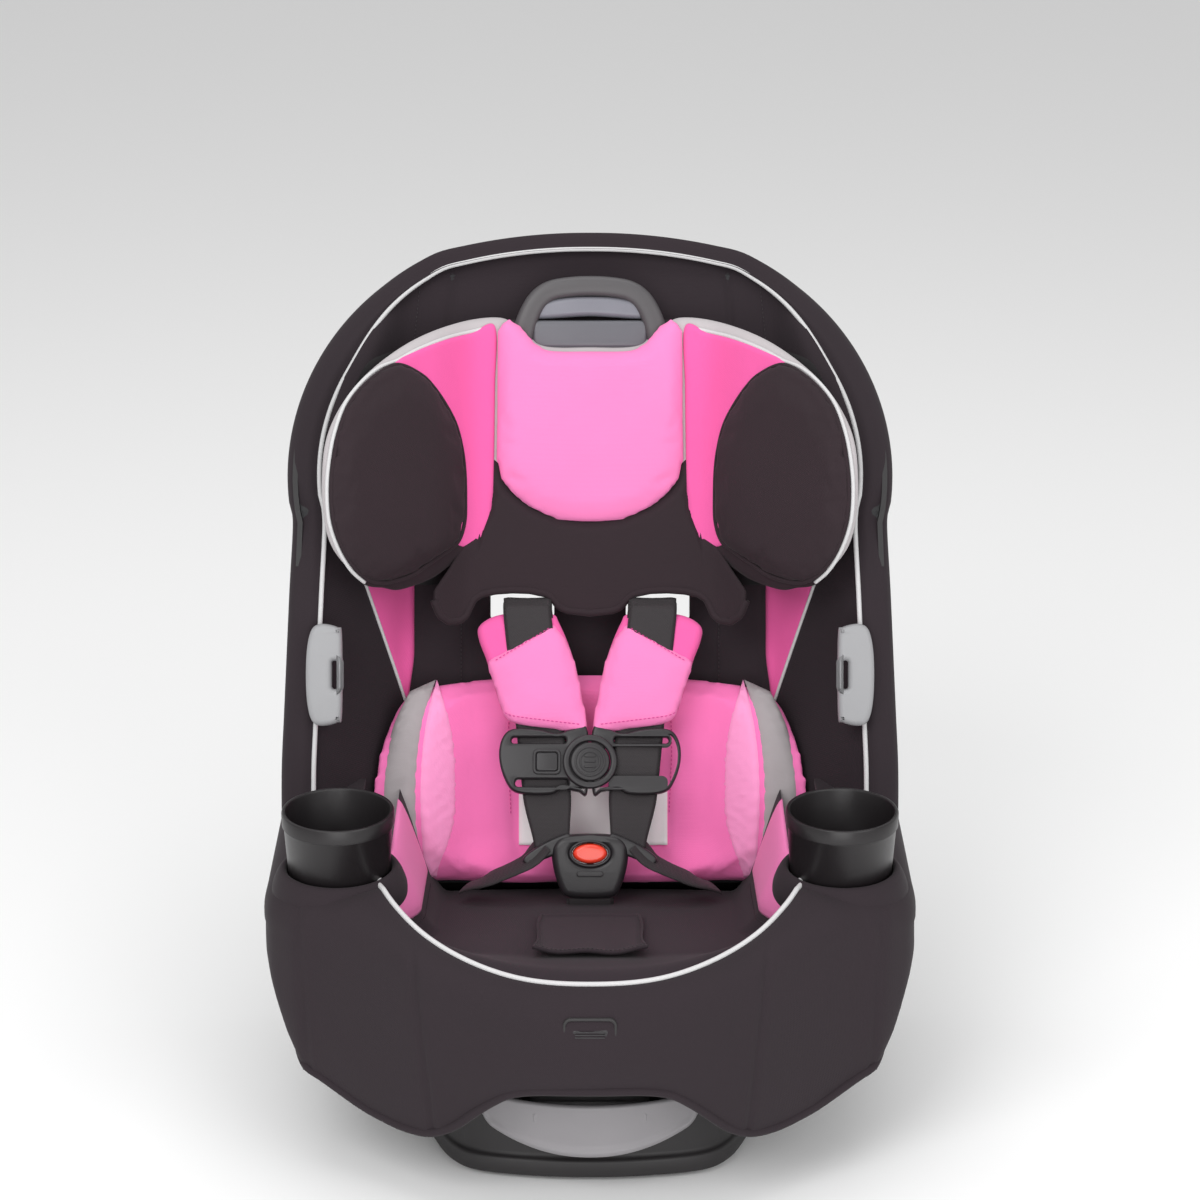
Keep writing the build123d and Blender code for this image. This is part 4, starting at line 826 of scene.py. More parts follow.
# ------------------------------------------------------------------ back
@dataclass
class BackCover:
    """The cloth cover of the back: its rim, its lining, the piping and the pink side panels."""

    half: float = 236.0
    crown: float = 522.0
    rim_fore: float = 106.0
    channel: float = 150.0
    spread: float = 0.58
    out: float = 5.0
    steps: int = 261

    def outline(self) -> Array:
        """(x, rise) from the lower left, over the crown, to the lower right."""
        side = np.array([(232, 4), (235.5, 30), (236, 60), (236, 100), (234.3, 140), (232.6, 180),
                         (230.3, 235), (228, 290)])
        shoulder = arc((228, 290), (195, 448), (120, 507))
        crown = arc((120, 507), (60, 518.5), (0, 522), 6)
        grow = np.concatenate([side, shoulder, crown]) * [self.half / 236, self.crown / 522]
        full = np.concatenate([grow * [-1, 1], grow[-2::-1]])
        return spline(full, self.steps)

    def rim_height(self, rise: Array) -> Array:
        """Fore of the rim: level low down, sloping back above the shoulders."""
        slope = self.rim_fore - (self.rim_fore - 3) * (rise - 300) / 200
        return np.maximum(3.0, soft_min(slope, self.rim_fore + 0 * rise, 22.0))

    def inset(self, rise: Array) -> Array:
        """How far inside the outline the piping runs."""
        return 21 - 12.5 * ease(420, 520, rise)

    def lining_height(self, x: Array, rise: Array) -> Array:
        """Fore of the lining: flat in the middle, then the wing's slope, up to just under the rim."""
        slope = soft_max((np.abs(x) - self.channel) / self.spread, 16.0) - 2
        height = soft_min(slope, self.rim_height(rise) - 2, 12.0)
        seam = 1.6 * np.exp(-((np.abs(x) - 101) / 2.2) ** 2) + 1.6 * np.exp(-((np.abs(x) - 140) / 2.4) ** 2)
        across = 2.0 * np.exp(-((np.abs(x) - 141 + 0.06 * rise) / 2.5) ** 2) * ease(330, 360, rise)
        return height - seam * (1 - ease(300, 330, rise)) - across

    def build(self) -> None:
        """Make and dress every piece of the back's cover."""
        line = self.outline()
        ahead = np.gradient(line, axis=0)
        ahead /= np.linalg.norm(ahead, axis=1, keepdims=True)
        outward = np.stack([-ahead[:, 1], ahead[:, 0]], -1)
        rim = self.rim_height(line[:, 1])
        inset = self.inset(line[:, 1])
        # section: (offset outwards, fore) pairs, from the rear edge over the rim to the piping
        # and back inside
        turn = np.linspace(0, np.pi / 2, 7)
        level = np.minimum(rim, 12.0)[:, None]
        parts_e = [np.full((len(line), 5), self.out),
                   self.out - 13 * (1 - np.cos(turn))[None] * np.ones((len(line), 1)),
                   -8 - np.linspace(0.2, 1, 5)[None] * (inset[:, None] - 8), -inset[:, None],
                   -2 + 0 * inset[:, None],
                   0.6 + 0 * inset[:, None], 0.6 + 0 * inset[:, None]]
        rear = np.linspace(0, 1, 5)[None]
        crest = 2.2 * np.sin(np.linspace(0, np.pi, 6))[None, 1:]
        parts_n = [-26 + (rim[:, None] - level + 26) * rear,
                   rim[:, None] - level + level * np.sin(turn)[None],
                   rim[:, None] + crest - 2.0 * np.linspace(0.2, 1, 5)[None] ** 2, rim[:, None] - 7,
                   rim[:, None] - 9, rim[:, None] - 14, np.full((len(line), 1), -26.0)]
        offset = np.concatenate(parts_e, 1)
        fore = np.concatenate(parts_n, 1)
        fore = np.maximum(fore, -26.0)
        xy = line[:, None] + outward[:, None] * offset[..., None]
        rim_piece = swept("back_rim", on_back(xy[..., 0], xy[..., 1], fore))
        dress(rim_piece, DARK, "seat")
        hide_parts("back_cover")

        loop = line - outward * inset[:, None]
        pipe_fore = rim - 0.6
        pipe = tube("back_piping", on_back(loop[:, 0], loop[:, 1], pipe_fore), 1.9,
                    np.array([0, -LEAN_C, LEAN_S]))
        dress(pipe, PIPING, "seat")

        right = loop[self.steps // 2:][::-1]
        top = loop[self.steps // 2, 1]
        rise = 4 + (top - 4.5) * (1 - (1 - np.linspace(0, 1, 120)) ** 1.35)
        wide = np.interp(rise, right[:, 1], right[:, 0])
        q = np.linspace(-1, 1, 181)
        x = q[None] * wide[:, None]
        up = rise[:, None] + 0 * x
        front = self.lining_height(x, up)
        lining = shell("back_lining", on_back(x, up, front), on_back(x, up, front - 4))
        slots = [(side * 55 - 26, side * 55 + 26, 214, 386) for side,
                 _ in SIDES] + [(-16, 16, 326, 420), (-2.5, 2.5, 419, 498)]
        cut_boxes(lining, slots, -40, 60)
        dress(lining, DARK, "seat")
        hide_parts("torso_liner")
        self.side_panels()
        self.long_seams()
        LOG.info("back cover made")

    def side_panels(self) -> None:
        """Pink panels on the slopes beside the torso, each with piping on its outer edge."""
        up = np.linspace(148, 330, 60)[:, None]
        q = np.linspace(0, 1, 20)[None]
        for side, name in SIDES:
            inner = 146 - 4 * ease(148, 190, up)
            outer = 148 + 31 * (up - 146) / 99
            x = side * (inner + (outer - inner) * q)
            puff = 2.6 * np.sqrt(np.clip(1 - (2 * q - 1) ** 4, 0, 1)) * ease(146, 156, up)
            height = self.lining_height(x, up + 0 * x)
            panel = shell("side_panel_" + name, on_back(x, up, height + puff), on_back(x, up, height - 2))
            dress(panel, PINK, "seat")
            edge = on_back(side * outer[:, 0], up[:, 0], self.lining_height(outer[:, 0], up[:, 0]) + 1)
            pipe = tube("side_piping_" + name, edge, 1.3, np.array([0, -LEAN_C, LEAN_S]))
            dress(pipe, PIPING, "seat")

    def long_seams(self) -> None:
        """Stitching beside the seams of the lining, low down and on the upper back."""
        for side, name in SIDES:
            rise = np.linspace(120, 214, 60)
            x = side * (101 + 3.2 + 0 * rise)
            row = stitches("lining_stitches_" + name, on_back(x, rise, self.lining_height(x, rise) + 0.4),
                           np.array([0, -LEAN_C, LEAN_S]))
            dress(row, DARK_THREAD, "seat")
            rise = np.linspace(440, 497, 40)
            x = side * (142 - 0.10 * (rise - 440))
            row = stitches("crown_stitches_" + name, on_back(x, rise, self.lining_height(x, rise) + 0.5),
                           np.array([0, -LEAN_C, LEAN_S]))
            dress(row, DARK_THREAD, "seat")


# ------------------------------------------------------------------ headrest
@dataclass
class Headrest:
    """The winged headrest: body, pads, bib, grip and trigger."""

    flat: float = 96.0
    wing: float = math.tan(math.radians(44.0))

    def height(self, x: Array, depth: float) -> Array:
        """Fore of a layer: flat in the middle, turning forwards on the wings."""
        stretch = depth * (1 / math.cos(math.radians(44.0)) - 1) * ease(self.flat - 10, self.flat + 30,
                                                                        np.abs(x))
        return 3 + depth + stretch + soft_max((np.abs(x) - self.flat - 3) * self.wing, 14.0) - 1.0

    def build(self) -> None:
        """Make and dress every piece of the headrest."""
        half = [(0, 434), (-36, 435), (-58, 450), (-74, 457), (-105, 452), (-145, 432), (-181, 399),
                (-202, 361),
                (-207, 321), (-203, 280), (-190, 257), (-172, 244), (-149, 240), (-126, 249), (-106, 262),
                (-88, 257), (0, 256)]
        body = cushion("headrest_body", mirrored(half), (0, 345), on_back, lambda x, y: self.height(x, 4.6),
                       lambda x, y: self.height(x, 23.5), 12.0, around=300, count=44)
        dress(body, LIGHT_GREY, "headrest")
        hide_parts("headrest_foam", "headrest_cover")
        for side, name in SIDES:
            self.wing_pad(side, name)
            self.side_strip(side, name)
            self.trim_piping(side, name)
        self.centre_pad()
        self.bib()
        self.grip()
        LOG.info("headrest made")

    def wing_pad(self, side: int, name: str) -> None:
        """Black oval pad on a wing, fuller towards the outside and sharper at its top."""
        line = np.array([(149.8, 415.8), (133, 409), (123, 399.5), (113, 385), (105.5, 370), (101, 352.5),
                         (98.7, 335),
                         (98, 313), (98.6, 291.5), (104, 275), (116, 265), (127, 257), (138, 249),
                         (151, 243.9), (163.5, 242),
                         (174, 245.2), (183.3, 253.9), (191, 266.5), (197, 282), (200, 298), (200.6, 320),
                         (198.5, 341.6),
                         (194.8, 360.4), (187.8, 380.7), (177.2, 396.3), (163.5, 409)])
        x, rise = line[:, 0], line[:, 1]
        low = lambda a, b: self.height(a, 20.0)
        high = lambda a, b: self.height(a, 33.0) + 3.0 * np.exp(-((np.abs(a) - 140) / 45) ** 2)
        pad = cushion("headrest_wing_pad_" + name, list(zip(side * x, rise)), (side * 149, 327), on_back, low,
                      high, 16.0,
                      around=320, count=44)
        swell(pad, 4.5, 2.5)
        dress(pad, PAD_BLACK, "headrest")
        smooth_once(pad)
        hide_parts(f"headrest_wing_pad_{name}")
        edge = spline(np.stack([side * (149 + (x - 149) * 0.965), 330 + (rise - 330) * 0.98], -1), 200,
                      closed=True)
        bead = tube("headrest_wing_bead_" + name,
                    on_back(edge[:, 0], edge[:, 1], self.height(edge[:, 0], 26.0)), 1.9,
                    np.array([0, -LEAN_C, LEAN_S]), closed=True)
        dress(bead, PAD_BLACK, "headrest")
        foot = [(-177, 243), (-162, 239.5), (-149, 238.3), (-126, 247), (-106, 260.2), (-88, 255), (-60, 254),
                (-60, 300),
                (-110, 300), (-150, 285), (-184, 262)]
        under = cushion("headrest_under_" + name, [(-side * a, b) for a, b in foot], (side * 120, 275),
                        on_back,
                        lambda a, b: self.height(a, 8.0), lambda a, b: self.height(a, 24.6), 11.0, around=240,
                        count=30)
        dress(under, PAD_BLACK, "headrest")

    def side_strip(self, side: int, name: str) -> None:
        """Pink strip between the wing pad and the middle seam."""
        line = [(-76, 449), (-95, 443.5), (-112, 438), (-135, 427.5), (-153, 416), (-162, 396), (-152, 360),
                (-140, 300), (-106, 274), (-88, 275), (-79, 290),
                (-77, 334), (-76, 400)]
        strip = cushion("headrest_strip_" + name, [(-side * x, y) for x, y in line], (side * 100, 370),
                        on_back,
                        lambda a, b: self.height(a, 21.0), lambda a, b: self.height(a, 26.5), 5.0, around=300,
                        count=34)
        dress(strip, PINK, "headrest")

    def trim_piping(self, side: int, name: str) -> None:
        """Pale piping between the grey trim and the wing."""
        path = spline([(-78, 449), (-95, 444.5), (-112, 439), (-135, 428), (-151, 418), (-165, 411),
                       (-178.5, 398),
                       (-189.5, 381.5), (-196.5, 361), (-200.3, 341.6), (-202.4, 319.7), (-201.8, 297),
                       (-198.7, 281.5),
                       (-192.5, 265.5), (-184.5, 252.5), (-175, 243.5)], 160)
        fore = self.height(path[:, 0], 23.5) + 0.2
        pipe = tube("headrest_piping_" + name, on_back(-side * path[:, 0], path[:, 1], fore), 1.5,
                    np.array([0, -LEAN_C, LEAN_S]))
        dress(pipe, PIPING, "headrest")

    def centre_pad(self) -> None:
        """Pink pad in the middle, with a straight top and a round bottom."""
        half = [(0, 433), (-34, 434), (-50, 444), (-66, 455), (-76, 449), (-77.5, 427), (-77.5, 380),
                (-76.5, 336),
                (-68, 317), (-50, 302), (-26, 292), (0, 289)]
        pad = cushion("headrest_centre_pad", mirrored(half), (0, 365), on_back, lambda a,
                      b: self.height(a, 20.0),
                      lambda a, b: self.height(a, 32.0) + 2.0 * np.exp(-((b - 370) / 60) ** 2), 13.0,
                      around=320, count=44)
        swell(pad, 4.5, 3.0)
        dress(pad, PALE_PINK, "headrest")
        smooth_once(pad)
        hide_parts("headrest_centre_pad")

    def bib(self) -> None:
        """Black bib under the pads, with an arch over each strap and an ear outside it."""
        x = np.concatenate([np.linspace(0, 26, 10), np.linspace(28, 92, 26), np.linspace(93.5, 124, 22)])
        low = np.interp(x, [0, 18, 25, 29, 34, 48, 62, 76, 87, 93, 96, 99, 104, 112, 119, 124],
                        [219, 221, 224, 230, 234, 237, 237.5, 236.5, 234, 230, 224, 217, 213, 212, 217, 229])
        high = np.interp(x, [0, 40, 60, 77, 83, 90, 96, 102, 107, 113, 119, 124],
                         [305, 315, 330, 345, 345, 287, 279, 272, 264, 254, 245, 237])
        x = np.concatenate([-x[:0:-1], x])
        low, high = (np.concatenate([a[:0:-1], a]) for a in (low, high))
        q = np.linspace(0, 1, 40)[:, None]
        rise = low[None] + (high - low)[None] * q
        xy = np.stack([x[None] + 0 * rise, rise], -1)
        edge = np.concatenate([xy[0], xy[-1, ::-1]])
        reach = np.clip(edge_distance(xy, edge) / 4.0, 0, 1)
        full = np.sqrt(1 - (1 - reach) ** 2)
        body = self.height(xy[..., 0], 27.0) - 0.35 * np.maximum(0, np.abs(xy[..., 0]) - 92)
        pad_edge = np.interp(np.abs(xy[..., 0]), [0, 26, 50, 66, 74, 79, 88, 124],
                             [289, 292, 302, 314, 322, 300, 277, 274])
        body = body - 5.5 * ease(-5, 7, rise - pad_edge)
        piece = shell("headrest_bib", on_back(xy[..., 0], rise, body + 2.8 * full),
                      on_back(xy[..., 0], rise, body - 2.8 * full))
        dress(piece, PAD_BLACK, "headrest")
        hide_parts("headrest_bib")
        keep = np.concatenate([xy[0]])
        fore = self.height(keep[:, 0], 27.0) - 0.35 * np.maximum(0, np.abs(keep[:, 0]) - 92) + 0.6
        roll = tube("headrest_bib_binding", on_back(keep[:, 0], keep[:, 1] + 0.8, fore), 3.1,
                    np.array([0, -LEAN_C, LEAN_S]))
        dress(roll, PAD_BLACK, "headrest")

    def grip(self) -> None:
        """Grip loop with a rounded section, its lower bar and the trigger inside it."""
        path = spline([(-56, 432), (-53, 447), (-48, 461), (-41, 472), (-31, 478.6), (-16, 481.4), (0, 482.2),
                       (16, 481.4),
                       (31, 478.6), (41, 472), (48, 461), (53, 447), (56, 432)], 90)
        side, out = path_frames(on_back(path[:, 0], path[:, 1], 0 * path[:, 0] + 16),
                                np.array([0, -LEAN_C, LEAN_S]))
        turn = np.linspace(0, 2 * np.pi, 20, endpoint=False)
        a = np.sign(np.cos(turn)) * np.abs(np.cos(turn)) ** 0.6
        b = np.sign(np.sin(turn)) * np.abs(np.sin(turn)) ** 0.6
        wide = (8.2 + 1.0 * ease(0, 1, (487 - path[:, 1]) / 60))[:, None, None]
        ring = a[None, :, None] * side[:, None] * wide + 8.6 * b[None, :, None] * out[:, None]
        loop = swept("headrest_grip_loop",
                     on_back(path[:, 0], path[:, 1], 0 * path[:, 0] + 16)[:, None] + ring * MM)
        dress(loop, GRIP, "headrest")
        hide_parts("headrest_grip")
        bar = plate("headrest_grip_bar", [rounded(92, 22, 5, (0, 443.5))], 13, 3.0, on_back, 9.0)
        dress(bar, TRIGGER_LOW, "headrest")
        face = [(-43, 456), (0, 458), (43, 456), (44, 462), (39, 469), (22, 473), (0, 474), (-22, 473),
                (-39, 469), (-44, 462)]
        lever = cushion("headrest_trigger_face", face, (0, 465), on_back, lambda x, y: 10 + 0 * x,
                        lambda x, y: 22.5 - 0.0012 * x * x, 4.0, around=120, count=16)
        dress(lever, TRIGGER, "headrest_trigger")
        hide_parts("headrest_trigger")


# ------------------------------------------------------------------ body insert
@dataclass
class BodyInsert:
    """The pink body support with its grey bands, light crescents and blank patch.

    Steps are the points along a seam, tuck how far a laid piece's ends sink in, and cloth its thickness.
    """

    steps: int = 80
    tuck: float = 1.2
    cloth: float = 2.5

    def front(self, x: Array, rise: Array) -> Array:
        """Fore of the front: shallow in the middle, standing up at the sides, swept forwards at the foot."""
        lift = 30 * ease(88, 150, np.abs(x)) + 4 * ease(150, 172, np.abs(x))
        foot = 24 * (1 - ease(-6, 42, rise)) * (1 - ease(70, 130, np.abs(x)))
        return 21 + lift + foot + 0 * rise

    def back(self, x: Array, rise: Array) -> Array:
        """Fore of its back, which lies on the lining."""
        return 1.5 + soft_max((np.abs(x) - 146) / 0.58, 8.0) + 0 * rise

    def build(self) -> None:
        """Make and dress the insert and what is sewn to it."""
        half = [(0, 174), (-45, 173), (-88, 170), (-124, 164), (-147, 152), (-161, 126), (-171, 92),
                (-172, 58),
                (-166, 26), (-150, 7), (-104, 1), (0, 0)]
        pad = cushion("body_insert_pad", mirrored(half), (0, 85), on_back, self.back, self.front, 17.0,
                      around=240, count=40)
        swell(pad, 4.5, 4.0)
        for side, _ in SIDES:
            seam = spline([(side * 58, 172), (side * 62, 120), (side * 60, 60), (side * 56, 4)], 60)
            press_seam(pad, seam, 3.2, 3.6)
            for line in (self.band_line(side, 0.0), self.band_line(side, 1.0)):
                press_seam(pad, line, 2.0, 3.4)
        dress(pad, INSERT_PINK, "seat")
        smooth_once(pad)
        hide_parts("body_insert")
        for side, name in SIDES:
            self.strip(pad, side, name)
            self.crescent(pad, side, name)
            seam = spline([(side * 61.5, 168), (side * 65.5, 120), (side * 63.5, 60)], 60)
            fore = front_height(pad, seam[:, 0], seam[:, 1], 6.0)
            row = stitches("insert_stitches_" + name, on_back(seam[:, 0], seam[:, 1], fore + 0.3),
                           np.array([0, -LEAN_C, LEAN_S]))
            dress(row, THREAD, "seat")
        patch_x, patch_y = np.meshgrid(np.linspace(-57, 62, 40), np.linspace(34, 80, 16))
        fore = front_height(pad, patch_x, patch_y, 9.0)
        patch = shell("insert_patch", on_back(patch_x, patch_y, fore + 1.2),
                      on_back(patch_x, patch_y, fore - 0.6))
        dress(patch, PATCH, "seat")
        LOG.info("body insert made")

    def band_line(self, side: int, across: float) -> Array:
        """One edge of the grey band: across 0 is its inner edge and 1 its outer edge."""
        inner = np.array([(-124, 166), (-133, 130), (-137, 92), (-137, 55), (-133, 10)])
        outer = np.array([(-144, 157), (-157, 128), (-164, 92), (-165, 55), (-158, 14)])
        line = spline(inner + (outer - inner) * across, self.steps)
        return line * [-side, 1]

    def strip(self, pad: bpy.types.Object, side: int, name: str) -> None:
        """Grey band laid on the insert, its edges tucked into the seams."""
        inner, outer = self.band_line(side, 0.0), self.band_line(side, 1.0)
        band = self.laid(pad, "insert_band_" + name, inner, outer, 1.6, 0.7, 0.03)
        dress(band, GREY, "seat")

    def crescent(self, pad: bpy.types.Object, side: int, name: str) -> None:
        """Lighter crescent inside the band, widest half way down."""
        line = [(-122, 164), (-111, 130), (-107, 92), (-109, 50), (-123, 8)]
        inner = spline(line, self.steps) * [-side, 1]
        outer = self.band_line(side, 0.0) + [side * -1.0, 0]
        piece = self.laid(pad, "insert_crescent_" + name, inner, outer, 1.2, 0.6, 0.06)
        dress(piece, SOFT_PINK, "seat")

    def laid(self, pad: bpy.types.Object, name: str, inner: Array, outer: Array, crest: float, sink: float,
             share: float) -> bpy.types.Object:
        """Thin piece of cloth laid on the insert between two lines.

        Args:
            pad: the insert's cushion, whose front the piece follows.
            name: name of the piece.
            inner: its inner edge, as (x, rise) points.
            outer: its outer edge, with as many points.
            crest: height of its middle over its edges.
            sink: how far its edges lie under the cushion's front.
            share: share of its length over which each end sinks in.

        Returns:
            The new object.
        """
        q = np.linspace(0, 1, 13)[:, None, None]
        xy = inner[None] + (outer - inner)[None] * q
        fore = front_height(pad, xy[..., 0], xy[..., 1], 6.5)
        puff = crest * np.sqrt(np.clip(1 - (2 * q[..., 0] - 1) ** 4, 0, 1)) - sink
        along = np.linspace(0, 1, self.steps)
        ends = ease(0, share, along) * ease(0, share, 1 - along)
        top = fore + puff * ends[None] - self.tuck * (1 - ends)[None]
        under = on_back(xy[..., 0], xy[..., 1], top - self.cloth)
        return shell(name, on_back(xy[..., 0], xy[..., 1], top), under)


# ------------------------------------------------------------------ harness
@dataclass
class Harness:
    """Five-point harness: straps, shoulder pads, chest clip, buckle and its tongues."""

    run: float = 185.2
    low_x: float = 31.0
    high_x: float = 50.0
    width: float = 38.0
    thick: float = 1.8
    face: tuple[float, float, float] = (0.0, -LEAN_C, LEAN_S)

    def strap_x(self, along: Array) -> Array:
        """Middle of a strap at a length up from the buckle."""
        return self.low_x + (self.high_x - self.low_x) * np.asarray(along) / self.run

    def build(self) -> None:
        """Make and dress every piece of the harness."""
        for side, name in SIDES:
            self.strap(side, name)
            self.pad(side, name)
            self.lap(side, name)
            self.clip_half(side, name)
            self.tongue(side, name)
        self.clip_middle()
        self.buckle()
        LOG.info("harness made")

    def strap(self, side: int, name: str) -> None:
        """Shoulder strap from the yoke up, through the slot and down the front to the tongue."""
        rear = [(50, 141, -40), (50, 180, -40), (50, 212, -40), (50, 226, -36), (50.0, 231, -24),
                (50, 231.5, 0)]
        front = [(a, on) for a,
                 on in ((186, 0.5), (176, 2.5), (150, 4.5), (120, 2.5), (96, 0.5), (70, 1.2), (40, 1.2),
                        (22, 0.6), (4, 0.4), (-12, -1.0))]
        over = [(self.strap_x(a), 48 + 0.98 * a + 0.2 * w, 73 - 0.2 * a + 0.98 * w) for a, w in front]
        wrap = [(50, 231.5, 22), (50, 230, 33)]
        path = spline([(side * x, r, n) for x, r, n in rear + wrap + over[1:]], 220)
        points = on_back(path[:, 0], path[:, 1], path[:, 2])
        ahead = np.gradient(path, axis=0)
        ahead /= np.linalg.norm(ahead, axis=1, keepdims=True)
        across = np.array([1.0, 0.0, 0.0])
        out = np.cross(across, ahead)
        face = np.stack([out[:, 0], out[:, 1] * LEAN_S - out[:, 2] * LEAN_C,
                         out[:, 1] * LEAN_C + out[:, 2] * LEAN_S], -1)
        narrow = self.width - 10.0 * ease(78, 34, path[:, 1])
        strap = ribbon("harness_strap_" + name, points, face, narrow, self.thick, 0.8)
        dress(strap, WEBBING, None)
        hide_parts(f"shoulder_strap_{name}")
        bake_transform(strap)

    def pad(self, side: int, name: str) -> None:
        """Shoulder pad: a pink cushion with a second layer sewn over its lower part."""
        line = [(29, 174), (46, 177), (66, 175), (80, 171), (89, 163), (88, 152), (82, 136), (75, 112),
                (69.5, 96), (65, 89),
                (58, 86), (30, 82), (4, 79), (2.5, 84), (6, 104), (11, 130), (18, 152), (25, 168)]
        base = cushion("shoulder_pad_base_" + name, [(side * x, a) for x, a in line], (side * 46, 126),
                       on_harness,
                       lambda x, a: -6.0 + 0 * x, lambda x, a: 5.5 - 2.5 * ease(160, 178, a), 6.0, around=200,
                       count=30)
        dress(base, PINK, "headrest")
        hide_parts(f"shoulder_pad_{name}")
        cover = [(26.5, 164), (29, 168.5), (34, 166), (60, 150), (80.5, 137.5), (82.5, 134), (75.5, 112),
                 (70.5, 96), (66, 88),
                 (58, 84.5), (30, 80.5), (3, 77.5), (1.5, 83), (5, 104), (10, 130), (17, 150), (22, 158)]
        top = cushion("shoulder_pad_cover_" + name, [(side * x, a) for x, a in cover], (side * 44, 118),
                      on_harness,
                      lambda x, a: -4.0 + 0 * x, lambda x, a: 9.0 + 0 * x, 7.0, around=220, count=34)
        swell(top, 4.0, 2.0)
        dress(top, PALE_PINK, "headrest")
        smooth_once(top)
        for key, pts in (("bottom", [(68, 93.5), (60, 90.5), (30, 86.5), (9, 84)]),
                         ("slant", [(32, 161.5), (58, 145.5), (76, 134.5)])):
            seam = spline(pts, 50)
            height = 9.2 - 0.4 * (key == "bottom")
            row = stitches(f"shoulder_pad_stitches_{key}_{name}",
                           on_harness(side * seam[:, 0], seam[:, 1], height + 0 * seam[:, 0]),
                           np.array(self.face))
            dress(row, THREAD, "headrest")

        over = spline([(50.2, 184, -2.5), (50.2, 179, 5.0), (49.8, 172, 6.6), (48.5, 160, 7.2),
                       (47.2, 148, 6.6), (46, 138, 5.0)], 40)
        web = ribbon("pad_webbing_" + name, on_harness(side * over[:, 0], over[:, 1], over[:, 2]),
                     np.array(self.face), 38.0, 1.6, 0.4)
        dress(web, WEBBING, "headrest")

    def lap(self, side: int, name: str) -> None:
        """Lap strap from the tongue out over the cushion and down beside the insert."""
        path = spline([(side * 36, 38, 75), (side * 47, 26, 75), (side * 57, 20, 74), (side * 70, 14, 71),
                       (side * 84, 8, 66),
                       (side * 98, 2, 54)], 60)
        face = np.array([0.0, -0.12, 1.0])
        strap = ribbon("harness_lap_" + name, on_back(path[:, 0], path[:, 1], path[:, 2]), face, 24.0,
                       self.thick, 1.2)
        dress(strap, WEBBING, "seat")
        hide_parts(f"lap_strap_{name}")

    def tongue(self, side: int, name: str) -> None:
        """Buckle tongue: a black moulded bar that carries the straps, on a steel blade."""
        outline = np.array([(13, 38), (16, 46), (24, 44.5), (38, 38), (50, 30), (53, 25.5), (50, 21.5),
                            (45, 21.5), (36, 26), (24, 31)])
        loop = spline(outline * [side, 1], 60, closed=True)
        bar = plate("buckle_tongue_bar_" + name, [loop], 6.5, 2.2, on_back, 73.0, None)
        dress(bar, CLIP, "seat")
        blade = plate("buckle_tongue_blade_" + name, [rounded(17, 26, 3, (side * 11, 30))], 3.0, 0.8, on_back,
                      71.6)
        dress(blade, STEEL, "seat")
        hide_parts(f"buckle_tongue_{name}")

    def clip_half(self, side: int, name: str) -> None:
        """Half of the chest clip: a shaped plate with a slot above and below, where the webbing threads."""
        outer = np.array([(2, 80), (14, 80.5), (26, 77), (40, 80), (58, 81), (67, 77), (71.5, 66), (71, 52),
                          (66, 38), (60, 31),
                          (48, 28.5), (30, 29), (22, 33), (10, 31), (2, 31)])
        loop = spline(outer * [side, 1], 160, closed=True)
        slot_high = rounded(43, 5.0, 2.2, (side * 40.5, 71.5))
        slot_low = rounded(42, 6.0, 2.6, (side * 38.0, 37.5))
        body = plate("chest_clip_plate_" + name, [loop, slot_high, slot_low], 9.0, 2.4, on_harness, -1.5,
                     35.0)
        dress(body, CLIP, "chest_clip")
        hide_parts(f"chest_clip_{name}")
        web_path = spline([(self.strap_x(86), 86, 1.6), (self.strap_x(74), 74, 3.6),
                           (self.strap_x(66), 66, 6.2),
                           (self.strap_x(54), 54, 6.6), (self.strap_x(44), 44, 5.4),
                           (self.strap_x(36), 36, 3.2),
                           (self.strap_x(27), 27, 1.6)], 50)
        web = ribbon("chest_clip_webbing_" + name,
                     on_harness(side * web_path[:, 0], web_path[:, 1], web_path[:, 2] - 2.4),
                     np.array(self.face), 37.0, 1.6)
        dress(web, WEBBING, "chest_clip")

    def clip_middle(self) -> None:
        """Round boss, ringed, with the push button in it and a raised square key beside it."""
        middle = (0.0, 54.0)
        boss = plate("chest_clip_boss", [circle(21.5, middle), circle(16.2, middle)], 5.5, 1.8, on_harness,
                     5.5)
        dress(boss, CLIP, "chest_clip")
        face = plate("chest_clip_button_face", [circle(15.6, middle)], 11.5, 1.8, on_harness, -1.0)
        dress(face, CLIP, "chest_clip_button")
        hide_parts("chest_clip_button")
        for number, radius in enumerate((12.2, 8.6)):
            ring = plate(f"chest_clip_button_ring_{number}",
                         [circle(radius, middle), circle(radius - 1.6, middle)], 1.6, 0.5,
                         on_harness, 9.6)
            dress(ring, CLIP, "chest_clip_button")
        bars = [rounded(9, 1.8, 0.8, (0, 54 + k * 4.2)) for k in (-1, 0, 1)]
        for number, bar in enumerate(bars):
            rib = plate(f"chest_clip_button_rib_{number}", [bar], 1.8, 0.5, on_harness, 9.7)
            dress(rib, CLIP, "chest_clip_button")
        frame_loop = rounded(22, 20, 4, (-34, 54))
        key = plate("chest_clip_key_frame", [frame_loop, rounded(17.5, 15.5, 2.6, (-34, 54))], 2.4, 0.8,
                    on_harness, 7.0)
        dress(key, CLIP, "chest_clip")
        pad = plate("chest_clip_key", [rounded(17, 15, 2.4, (-34, 54))], 3.4, 1.2, on_harness, 5.6)
        dress(pad, CLIP, "chest_clip")

